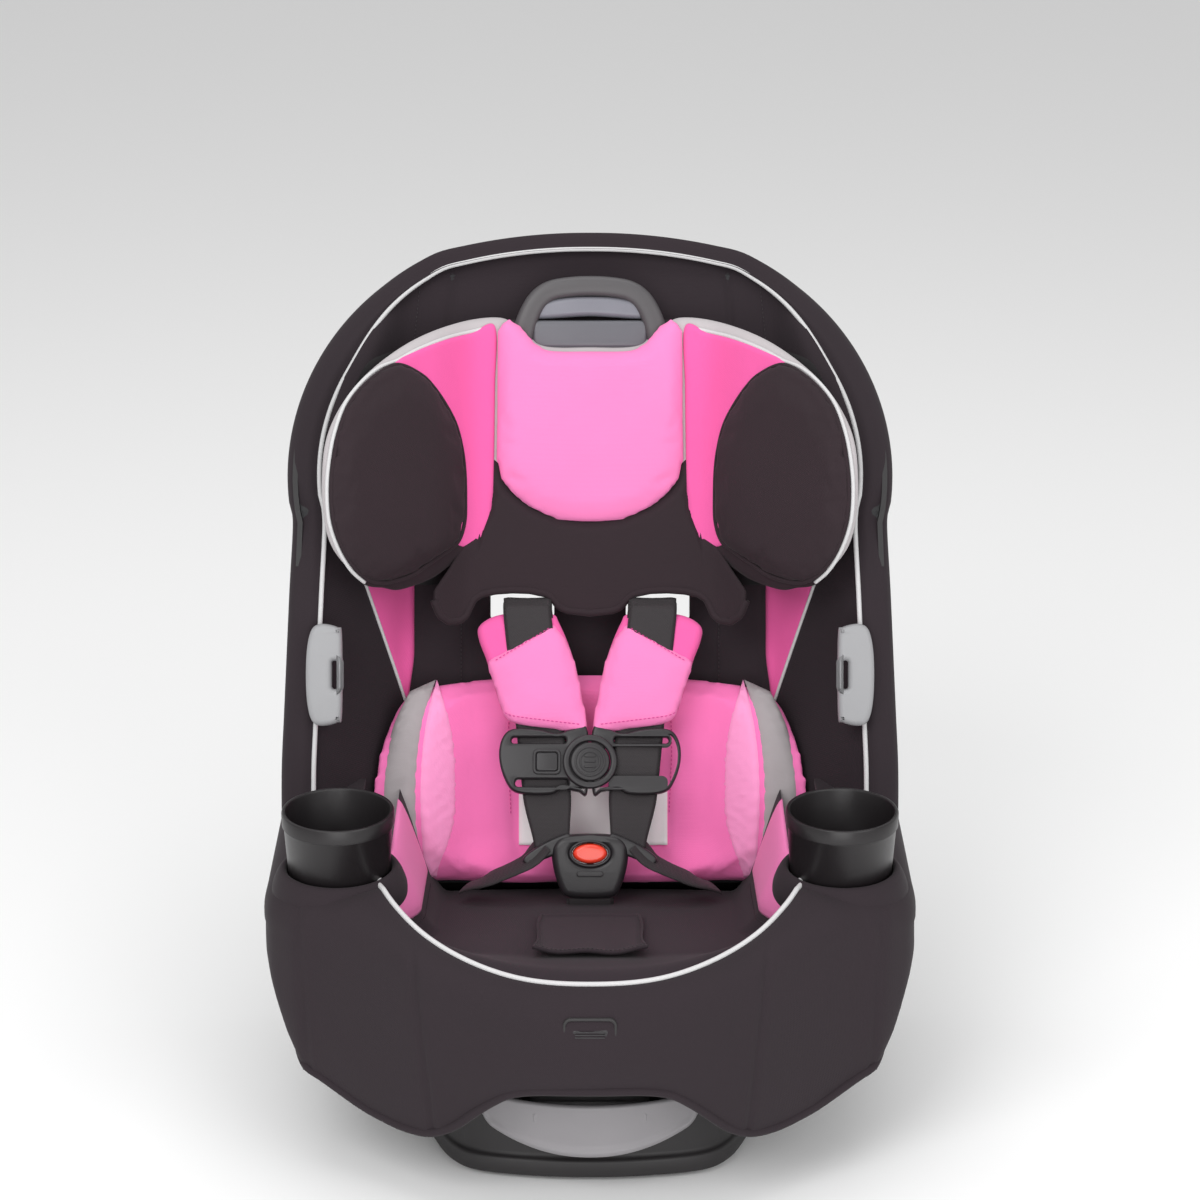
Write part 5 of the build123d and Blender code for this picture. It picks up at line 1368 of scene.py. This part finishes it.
    def buckle(self) -> None:
        """Buckle housing with its red button, and the crotch strap."""
        outline = np.array([(0, 46), (14, 45.5), (24, 43), (29.5, 36), (30, 26), (27, 12), (22, 0),
                            (16, -3.5), (0, -4.5)])
        loop = spline(np.concatenate([outline, outline[-2:0:-1] * [-1, 1]]), 120, closed=True)
        red_at = (0.0, 31.0)
        body = plate("buckle_body", [loop, circle((14.6, 8.9), red_at)], 19.0, 5.5, on_back, 63.0, 50.0)
        dress(body, CLIP, "seat")
        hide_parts("buckle_housing")
        floor_plate = plate("buckle_well", [circle((15.5, 9.8), red_at)], 2.0, 0.6, on_back, 70.0)
        dress(floor_plate, CLIP, "seat")
        rim = plate("buckle_button_rim", [circle((16.6, 10.9), red_at), circle((14.2, 8.5), red_at)], 3.0,
                    1.1, on_back, 80.0, None)
        dress(rim, CLIP, "seat")
        button = cushion("buckle_button_face", [tuple(p) for p in circle((13.7, 8.0), red_at, 24)], red_at,
                         on_back,
                         lambda x, y: 74 + 0 * x, lambda x, y: 84.0 - 0.004 * (x * x + (y - 31) ** 2), 3.0,
                         around=80, count=12)
        dress(button, RED, "buckle_button")
        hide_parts("buckle_button")
        notch = plate("buckle_notch", [rounded(21, 4.6, 2.2, (0, 15))], 2.2, 0.7, on_back, 81.2)
        dress(notch, CLIP, "seat")
        foot, head = np.array([0, 10, 91.0]), np.array([0, 9.5, 146.0])
        low_path = np.linspace(0, 1, 30)[:, None] * (head - foot) + foot
        strap = ribbon("crotch_webbing", low_path * MM, np.array([0.0, -1.0, 0.05]), 37.0, 2.0, 1.0)
        dress(strap, WEBBING, "seat")
        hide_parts("crotch_strap")


# ------------------------------------------------------------------ seat
@dataclass
class SeatCover:
    """The big cloth cover of the lower half: skirt, sitting pad, bolsters, flap and hem."""

    half: float = 236.0
    out: float = 8.0
    arm_x: float = 152.0
    arm_z: float = 226.5
    steps: int = 361

    def plan(self) -> tuple[Array, Array]:
        """Outer and inner top edges in plan, matched point for point.

        Returns:
            (x, y) of the outer wall line, and (x, y, z) of the inner line, which is the piping at the front.
        """
        outer = [(-236, 60), (-236, 20), (-236, -30), (-236, -80), (-236, -113), (-232, -134),
                 (-221.6, -147.6),
                 (-210, -156.5), (-195.5, -163), (-160, -184), (-128, -204.5), (-95, -220), (-50, -233.5),
                 (0, -238)]
        inner = [(-178, 60), (-178, 20), (-176, -30), (-166, -78), (-157.5, -102), (-155.5, -117),
                 (-155, -128), (-155.5, -136),
                 (-155, -144), (-143, -165), (-121, -188), (-88, -206), (-47, -219.5), (0, -223.5)]
        a, b = np.array(outer, float), np.array(inner, float)
        full = np.concatenate([np.concatenate([a, b], 1), np.concatenate([a, b], 1)[-2::-1] * [-1, 1, -1, 1]])
        both = spline(full, self.steps)
        x, y = both[:, 2], both[:, 3]
        z = 185 + (self.arm_z - 185) * np.clip(np.abs(x) / 152, 0, 1) ** 2.6
        return both[:, :2], np.stack([x, y, z], -1)

    def hem(self, outer: Array) -> Array:
        """Height of the hem round the plan: arched in the middle, lowest at the front corners."""
        x = np.abs(outer[:, 0])
        front = np.interp(x, [0, 36, 58, 80, 100, 118, 140, 165, 195, 222, 236],
                          [107, 106.5, 103, 86, 66, 57, 57, 62, 76, 89, 95])
        kernel = np.exp(-(np.arange(-8, 9) / 4.0) ** 2)
        padded = np.pad(front, 8, mode="edge")
        return np.convolve(padded, kernel / kernel.sum(), "valid")

    def build(self) -> None:
        """Make and dress every piece of the seat's cover."""
        outer, inner = self.plan()
        ahead = np.gradient(outer, axis=0)
        ahead /= np.linalg.norm(ahead, axis=1, keepdims=True)
        outward = np.stack([ahead[:, 1], -ahead[:, 0]], -1)
        outward *= np.sign((outward * outer).sum(1, keepdims=True))
        low = self.hem(outer)
        wall_z = inner[:, 2] - 34
        # top: a quarter of a super-ellipse from the inner line out and down to the wall
        turn = np.linspace(0, np.pi / 2, 34)[:, None]
        boxy = 3.0 - 0.9 * np.exp(-(outer[:, 0] / 120) ** 2)[None]
        go, drop = np.sin(turn) ** (2 / boxy), 1 - np.cos(turn) ** (2 / boxy)
        wall = outer + outward * self.out
        top_xy = inner[None, :, :2] + (wall - inner[:, :2])[None] * go[..., None]
        top_z = inner[None, :, 2] - 34 * drop
        # wall: from there down to the hem, drawn in a little at the bottom
        q = np.linspace(0, 1, 40)[1:, None]
        wall_zs = wall_z[None] + (low - wall_z)[None] * q
        bulge = self.out + 1.5 * np.sin(np.pi * q) - 5.5 * q**3
        wall_xy = outer[None] + outward[None] * bulge[..., None]
        limit = np.interp(wall_zs, [50, 60, 71, 91, 110, 130, 150, 168],
                          [168, 187, 204, 218.5, 227, 233.5, 240, 244.5])
        wall_xy[..., 0] = np.sign(wall_xy[..., 0]) * soft_min(np.abs(wall_xy[..., 0]), limit, 3.0)
        lined = outer[None] + outward[None] * (0.8 + 0 * q[..., None])
        lined[..., 0] = np.sign(lined[..., 0]) * soft_min(np.abs(lined[..., 0]), limit - 6.5, 3.0)
        xy = np.concatenate([top_xy, wall_xy])
        z = np.concatenate([top_z, wall_zs])
        xy, z = self.press_seams(xy, z, outward)
        front = in_room(xy[..., 0], xy[..., 1], z)
        inside = np.concatenate([top_xy - outward[None] * 2.0 * go[..., None], lined])
        inside_z = np.concatenate([top_z - 4.5, wall_zs])
        skirt = shell("seat_skirt", front, in_room(inside[..., 0], inside[..., 1], inside_z))
        for side, _ in SIDES:
            cut_round(skirt, (side * 187.0, -113.0), 41.0, 180, 260)
        dress(skirt, DARK, "seat")
        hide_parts("apron", "arm_pads", "arm_foams")
        edge = in_room(wall_xy[-1, :, 0] - outward[:, 0] * 0.5, wall_xy[-1, :, 1] - outward[:, 1] * 0.5,
                       wall_zs[-1] + 1.0)
        binding = tube("hem_binding", edge, 3.6, np.concatenate([outward, 0 * outward[:, :1]], 1))
        dress(binding, DARK, "seat")
        keep = inner[:, 1] < -134
        line = inner[keep]
        pipe = tube("seat_piping", in_room(line[:, 0], line[:, 1], line[:, 2] + 0.6), 2.0,
                    np.array([0, -0.4, 1.0]))
        dress(pipe, PIPING, "seat")
        self.sitting_pad(inner)
        self.flap()
        LOG.info("seat cover made")

    def press_seams(self, xy: Array, z: Array, outward: Array) -> tuple[Array, Array]:
        """Sink the skirt along its two seams on each side, and let the cloth pull gently between them."""
        x = xy[..., 0]
        depth = 0 * x
        lean = (200 - z) / 100
        for middle, slant in ((128.0, -9.0), (214.0, -3.0)):
            away = (np.abs(x) - middle - slant * lean) / 2.4
            live = ease(226, 218, z) if middle > 200 else 1.0
            depth += 2.0 * np.exp(-away**2) * live - 1.2 * np.exp(-(away / 5) ** 2) * live
        ripple = 0.8 * np.sin(x / 23.0 + z / 31.0) * np.sin(z / 27.0 + 1.3) * ease(185, 150, z)
        return xy - outward[None] * (depth + ripple)[..., None], z

    def splay(self, y: Array) -> Array:
        """How far the bolsters have spread outwards, from the front to the rear."""
        return 25 * ease(-60, -130, y)

    def seat_height(self, x: Array, y: Array) -> Array:
        """Height of the sitting surface: sloped, crowned a little, turning up into the bolsters."""
        base = CREASE_Z + (CREASE_Y - y) * 0.198
        near = np.abs(x) - self.splay(y)
        rise = (self.arm_z - 1.5 - base) * ease(112, 158, near) ** 1.15
        hollow = 2.5 * np.cos(np.clip(near / 118, 0, 1) * np.pi / 2) - 1.0
        return base + rise + hollow

    def sitting_pad(self, inner: Array) -> None:
        """Dark pad from the crease to the piping, and the pink bolsters at its sides."""
        front_line = inner[inner[:, 1] < -100]
        q = np.linspace(-1, 1, 201)[None]
        s = np.linspace(0, 1, 110)[:, None]
        order = np.argsort(front_line[:, 0])
        x_front = q * 151.0
        y_front = np.interp(x_front, front_line[order, 0], front_line[order, 1])
        z_front = np.interp(x_front, front_line[order, 0], front_line[order, 2])
        y_front = np.where(np.abs(x_front) > 150.9, -140.0, y_front)
        y = 62 + (y_front - 62) * s
        x = x_front + np.sign(q) * self.splay(y) * q**4
        blend = ease(0.72, 1.0, s)
        z = self.seat_height(x, y) * (1 - blend) + (z_front - 0.5) * blend
        crest = 2.6 * np.exp(-((s - 0.94) / 0.05) ** 2) * (1 - (x / 160) ** 4)
        groove = 2.4 * np.exp(-((np.abs(x) - self.splay(y) - (127 + 2 * s)) / 2.6) ** 2) * ease(1.0, 0.9, s)
        z = z + crest - groove
        pad = shell("seat_pad", in_room(x, y, z), in_room(x, y, z - 12 - 4 * np.cos(x / 100)))
        dress(pad, SEAT_DARK, "seat")
        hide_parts("seat_cushion")
        for side, name in SIDES:
            across = np.linspace(0, 1, 30)[None]
            along = np.linspace(0, 1, 70)[:, None]
            x = side * (129 + 22.5 * across + 0 * along)
            stop = np.interp(np.abs(x[0]), [129, 140, 151.5], [-120, -134, -141])[None]
            y = 40 + (stop - 40) * along
            x = x + side * self.splay(y)
            puff = 4.0 * np.sqrt(np.clip(1 - (2 * across - 1) ** 4, 0,
                                         1)) * np.sqrt(np.clip(1 - (2 * along - 1) ** 6, 0, 1))
            z = self.seat_height(x, y)
            low_z, high_z = z - 3, z + puff
            panel = shell("bolster_" + name, in_room(x - side * puff * 0.6, y, high_z), in_room(x, y, low_z))
            dress(panel, PALE_PINK, "seat")
            row_y = np.linspace(30, -112, 80)
            row_x = side * (126.0 + self.splay(row_y))
            row = stitches("bolster_stitches_" + name,
                           in_room(row_x, row_y, self.seat_height(row_x, row_y) - 0.6), np.array([0, 0, 1.0]))
            dress(row, DARK_THREAD, "seat")

    def flap(self) -> None:
        """Small cloth flap over the adjuster's slot, sewn at the rear and lifting at its front corners."""
        u, v = np.meshgrid(np.linspace(-1, 1, 50), np.linspace(0, 1, 50))
        wide = 39 + 3 * v + 1.2 * np.sin(v * 7)
        x = u * wide
        y = -34 - 122 * v - 3.0 * u * u * v
        z = self.seat_height(x,
                             y) + 1.6 + 7.0 * v**3 * (0.35 + 0.65 * u * u) + 1.2 * np.sin(6 * u + 2) * v * v
        edge = np.maximum(np.abs(u), np.abs(2 * v - 1))
        thick = 1.6 + 1.2 * np.exp(-((edge - 0.95) / 0.05) ** 2)
        piece = shell("seat_flap", in_room(x, y, z + thick), in_room(x, y, z - 0.3))
        dress(piece, SEAT_DARK, "seat")
        line = np.stack([x[:, 0], y[:, 0], z[:, 0]], -1)
        front = np.stack([x[-1], y[-1], z[-1]], -1)
        right = np.stack([x[::-1, -1], y[::-1, -1], z[::-1, -1]], -1)
        path = np.concatenate([line, front[1:], right[1:]])
        inward = path - path.mean(0)
        path = path - inward * 0.06
        row = stitches("flap_stitches", (path + [0, 0, 3.0]) * MM, np.array([0, -0.3, 1.0]))
        dress(row, DARK_THREAD, "seat")


@dataclass
class CupHolders:
    """Lift-out cup holders and the rolled collars they stand in."""

    x: float = 187.0
    y: float = -113.0
    low: float = 193.0
    top: float = 275.0
    low_r: float = 36.0
    flare: float = 5.5
    wall: float = 2.5

    def build(self) -> None:
        """Make and dress both cup holders and collars."""
        for side, name in SIDES:
            r, t = self.low_r, self.top
            rim = r + self.flare
            profile = np.array([(0.01, self.low), (r - 4, self.low), (r - 1.2, self.low + 1.0),
                                (r, self.low + 4),
                                (r + 4.3, t - 13), (rim - 0.9, t - 12.6), (rim - 0.7, t - 11.4),
                                (rim + 0.2, t - 10.8),
                                (rim + 0.4, t - 1.4), (rim - 0.2, t - 0.3), (rim - 1.2, t),
                                (rim - 2.4, t - 0.4), (rim - 2.9, t - 1.6),
                                (r - self.wall, self.low + 8), (r - 5, self.low + self.wall + 1.2),
                                (0.01, self.low + self.wall)])
            cup = lathe("cup_holder_" + name + "_body", profile, (side * self.x, self.y))
            dress(cup, CUP, "cup_holder_" + name)
            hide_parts("cup_holder_" + name)
            ring = spline([(39.2, 222), (39.4, 227.5), (41.0, 229.8), (43.4, 229.2), (45.6, 226.6), (48, 222),
                           (50.5, 214),
                           (50, 206), (45, 202), (41, 206)], 60, closed=True)
            collar = lathe("cup_collar_roll_" + name, ring, (side * self.x, self.y), sharp=None)
            dress(collar, DARK, "seat")
            well = np.array([(0.01, 188.5), (43.5, 188.5), (43.5, 222), (41.2, 222), (41.2, 191.5),
                             (0.01, 191.5)])
            socket = lathe("cup_socket_" + name, well, (side * self.x, self.y))
            dress(socket, CUP, "seat")
            if side < 0:
                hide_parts("cup_collars")
                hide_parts("cup_sockets")
        LOG.info("cup holders made")


@dataclass
class HardParts:
    """Moulded and metal parts: base, handle, wing clips, adjuster, and the carried-over nodes."""

    def build(self, frame: dict) -> None:
        """Make the parts that need rounding and dress every node that still shows.

        Args:
            frame: the loaded frame.
        """
        self.base()
        self.handle()
        self.wing_clips()
        self.adjuster()
        plain = {SHELL: ("seat_shell", "headrest_shell", "rod_brackets", "handle_brackets", "pivot_bushes"),
                 FOAM: ("torso_foam", "seat_foam"), RUBBER: ("base_feet",), WEBBING: ("adjuster_webbing",),
                 STEEL: ("pivot_shaft", "pivot_brackets", "recline_bolt", "recline_rack", "recline_spring",
                         "handle_pin",
                         "headrest_rods", "lock_strip", "lock_pin", "crotch_anchor", "harness_yoke",
                         "bracket_screws")}
        for finish, names in plain.items():
            for name in names:
                node = frame["nodes"][name]
                node.data.materials.clear()
                node.data.materials.append(finish.material())
        LOG.info("hard parts dressed")

    def base(self) -> None:
        """Base: its plan carried up a profile with a flange at the foot, a ledge and a hollow underside."""
        half = [(0, -181), (-42, -178.5), (-84, -170), (-104, -154), (-118, -125), (-134, -74), (-150, -20),
                (-150, 60), (-150, 168),
                (-147, 176), (-139, 180), (-70, 180), (0, 180)]
        plan = spline(mirrored(half), 240, closed=True)
        ahead = np.roll(plan, -1, 0) - np.roll(plan, 1, 0)
        ahead /= np.linalg.norm(ahead, axis=1, keepdims=True)
        outward = np.stack([ahead[:, 1], -ahead[:, 0]], -1)
        outward *= np.sign((outward * plan).sum(1, keepdims=True))
        profile = np.array([(-8, 3.2), (-2.5, 3.2), (-0.6, 4.0), (0, 6.0), (0, 15.5), (-0.8, 17.2),
                            (-2.4, 18.0), (-4.2, 19.0),
                            (-4.8, 21.5), (-5.5, 60), (-6.6, 71), (-9, 74.2), (-12, 75), (-14.5, 74.4),
                            (-15, 72), (-14, 20),
                            (-11.5, 12), (-10, 5)])
        rings_xy = plan[:, None] + outward[:, None] * profile[None, :, :1]
        body = swept("base_body",
                     in_room(rings_xy[..., 0], rings_xy[..., 1], profile[None, :, 1] + 0 * rings_xy[..., 0]),
                     closed=True, sharp=50.0)
        dress(body, BASE, "base")
        deck_xy = rings(plan - outward * 12, (0, 0), 12)
        deck = shell("base_deck", in_room(deck_xy[..., 0], deck_xy[..., 1], 9.0 + 0 * deck_xy[..., 0]),
                     in_room(deck_xy[..., 0], deck_xy[..., 1], 5.5 + 0 * deck_xy[..., 0]), around=True)
        dress(deck, BASE, "base")
        for side, name in SIDES:
            boss = plate("pivot_boss_" + name, [rounded(50, 62, 12, (120, 36)), circle(11, (120, 48))], 28,
                         2.0,
                         lambda a, b, h: in_room(side * (120 + h), a, b))
            dress(boss, BASE, "base")
            guide = plate("bolt_guide_" + name,
                          [rounded(36, 58, 3, (-150, 35)), rounded(19, 13, 1, (-156, 48))], 8, 0.8,
                          lambda a, b, h: in_room(side * (44 + h), a, b))
            dress(guide, BASE, "base")
        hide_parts("base_shell")

    def handle(self) -> None:
        """Recline handle: a bowed plate with a raised lip along its lower edge."""
        u, v = np.meshgrid(np.linspace(-1, 1, 90), np.linspace(0, 1, 40))
        x = u * 82
        low = 35 + 21 * np.abs(u) ** 2.2
        corner = 1 - np.sqrt(np.clip(1 - np.clip((np.abs(u) - 0.88) / 0.12, 0, 1) ** 2, 0, 1))
        low = low + 12 * corner
        z = low + (78 - 4 * corner - low) * v
        y = -186 - 22 * (1 - u * u)
        roll = np.clip(edge_distance(np.stack([x, z], -1),
                                     np.concatenate([np.stack([x[0], z[0]], -1),
                                                     np.stack([x[-1, ::-1], z[-1, ::-1]], -1)])) / 2.5, 0, 1)
        full = np.sqrt(1 - (1 - roll) ** 2)
        lip = 2.2 * np.exp(-((z - low - 5) / 3.2) ** 2)
        panel = shell("recline_handle_panel", in_room(x, y + 2.5 - 2.5 * full - lip * full, z),
                      in_room(x, y + 2.5 + 2.5 * full, z))
        dress(panel, HANDLE, "recline_handle")
        turn = np.linspace(0, 2 * np.pi, 24, endpoint=False)
        ends = np.linspace(-42, 42, 2)[:, None]
        barrel = swept("recline_handle_barrel",
                       in_room(ends + 0 * turn, -187.5 + 5 * np.cos(turn) + 0 * ends,
                               66 + 5 * np.sin(turn) + 0 * ends), sharp=40.0)
        dress(barrel, HANDLE, "recline_handle")
        web = plate("recline_handle_rib", [rounded(84, 8, 2, (0, 66))], 13, 1.0, lambda a, b,
                    h: in_room(a, -190 - h, b))
        dress(web, HANDLE, "recline_handle")
        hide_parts("recline_handle")

    def wing_clips(self) -> None:
        """Faceted keepers on the rim, each with a slot on its inner face."""
        for side, name in SIDES:
            outline = [(-13.5, -30), (-10, -37), (3, -39.5), (10.5, -34), (14, -15), (14, 15), (10.5, 34),
                       (3, 39.5), (-10, 37),
                       (-13.5, 30)]
            loop = spline([(side * (206 + a), 172 + b) for a, b in outline], 140, closed=True)
            slot = rounded(4.4, 22, 2.0, (side * 198.0, 172))
            body = plate("wing_clip_" + name, [loop, slot], 12.5, 4.2, on_back, 105.5, None)
            dress(body, KEEPER, "seat")
            if side < 0:
                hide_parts("wing_clips")

    def adjuster(self) -> None:
        """Adjuster in the skirt's front: a rimmed recess with a ribbed lever in it."""
        spot = lambda a, b, h: in_room(a, -240.5 - h, b)
        rim = plate("adjuster_rim", [rounded(39, 20, 5.5, (0, 159)), rounded(34.5, 15.5, 4.0, (0, 159))], 5.0,
                    1.0, spot)
        dress(rim, BASE, "seat")
        well = plate("adjuster_well", [rounded(38, 19, 4.5, (0, 160))], 2.0, 0.5, lambda a, b,
                     h: in_room(a, -238.0 - h, b))
        dress(well, CLIP, "seat")
        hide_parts("adjuster_housing")
        lever = plate("adjuster_lever_face", [rounded(28, 9, 3, (0, 156.5))], 7.0, 2.4, lambda a, b,
                      h: in_room(a, -239.0 - h, b))
        dress(lever, CLIP, "adjuster_lever")
        for number in range(3):
            rib = plate(f"adjuster_rib_{number}", [rounded(22, 1.2, 0.5, (0, 154.4 + 2.1 * number))], 1.2,
                        0.4,
                        lambda a, b, h: in_room(a, -245.6 - h, b))
            dress(rib, CLIP, "adjuster_lever")
        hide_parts("adjuster_lever")


# ------------------------------------------------------------------ studio
@dataclass
class Studio:
    """Camera, floor and lights."""

    eye: tuple[float, float, float] = (0.0, -2.4724, 1.2988)
    lens: float = 103.9
    shift: float = 10 / 1200

    def light(self, name: str, at: tuple[float, float, float], size: float, power: float) -> None:
        """An area light aimed at the middle of the seat."""
        lamp = bpy.data.lights.new(name, "AREA")
        lamp.shape, lamp.size, lamp.energy = "SQUARE", size, power
        holder = bpy.data.objects.new(name, lamp)
        bpy.context.scene.collection.objects.link(holder)
        holder.location = at
        aim = np.array([0.0, 0.0, 0.3]) - np.array(at)
        holder.rotation_euler = (math.atan2(math.hypot(aim[0], aim[1]), -aim[2]), 0,
                                 math.atan2(aim[1], aim[0]) - math.pi / 2)

    def build(self) -> None:
        """Set up the camera, the pale floor and the soft lights."""
        scene = bpy.context.scene
        camera = bpy.data.cameras.new("view")
        camera.lens, camera.sensor_width, camera.shift_x = self.lens, 36.0, self.shift
        camera.clip_end = 100.0
        holder = bpy.data.objects.new("view", camera)
        holder.location, holder.rotation_euler = self.eye, (math.radians(70.0), 0, 0)
        scene.collection.objects.link(holder)
        scene.camera = holder
        scene.view_settings.view_transform = "Standard"
        world = bpy.data.worlds.new("studio")
        world.use_nodes = True
        world.node_tree.nodes["Background"].inputs["Color"].default_value = (1, 1, 1, 1)
        world.node_tree.nodes["Background"].inputs["Strength"].default_value = 0.6
        scene.world = world
        turn = np.linspace(0, 2 * np.pi, 96, endpoint=False)
        radius = np.linspace(0, 12, 6)[:, None]
        disc = np.stack([radius * np.cos(turn), radius * np.sin(turn), -0.0005 + 0 * radius * turn], -1)
        floor = make_piece("floor", disc, grid_quads(6, 96, around=True))
        pale = bpy.data.materials.new("pale_floor")
        pale.use_nodes = True
        shader = pale.node_tree.nodes["Principled BSDF"]
        shader.inputs["Base Color"].default_value = (0.93, 0.93, 0.93, 1)
        shader.inputs["Roughness"].default_value = 0.9
        floor.data.materials.append(pale)
        self.light("key", (-1.3, -2.2, 2.6), 1.8, 42)
        self.light("fill", (1.7, -2.0, 1.6), 2.0, 20)
        self.light("top", (0.0, 0.2, 2.8), 2.0, 22)
        self.light("low_front", (0.0, -2.6, 0.5), 1.6, 22)


def main() -> None:
    """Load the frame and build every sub-assembly in order."""
    logging.basicConfig(level=logging.INFO, format="%(message)s")
    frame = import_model()
    for group in (knit_group, grain_group):
        group()
    Studio().build()
    BackCover().build()
    Headrest().build()
    BodyInsert().build()
    Harness().build()
    SeatCover().build()
    CupHolders().build()
    HardParts().build(frame)


if __name__ == "__main__":
    main()
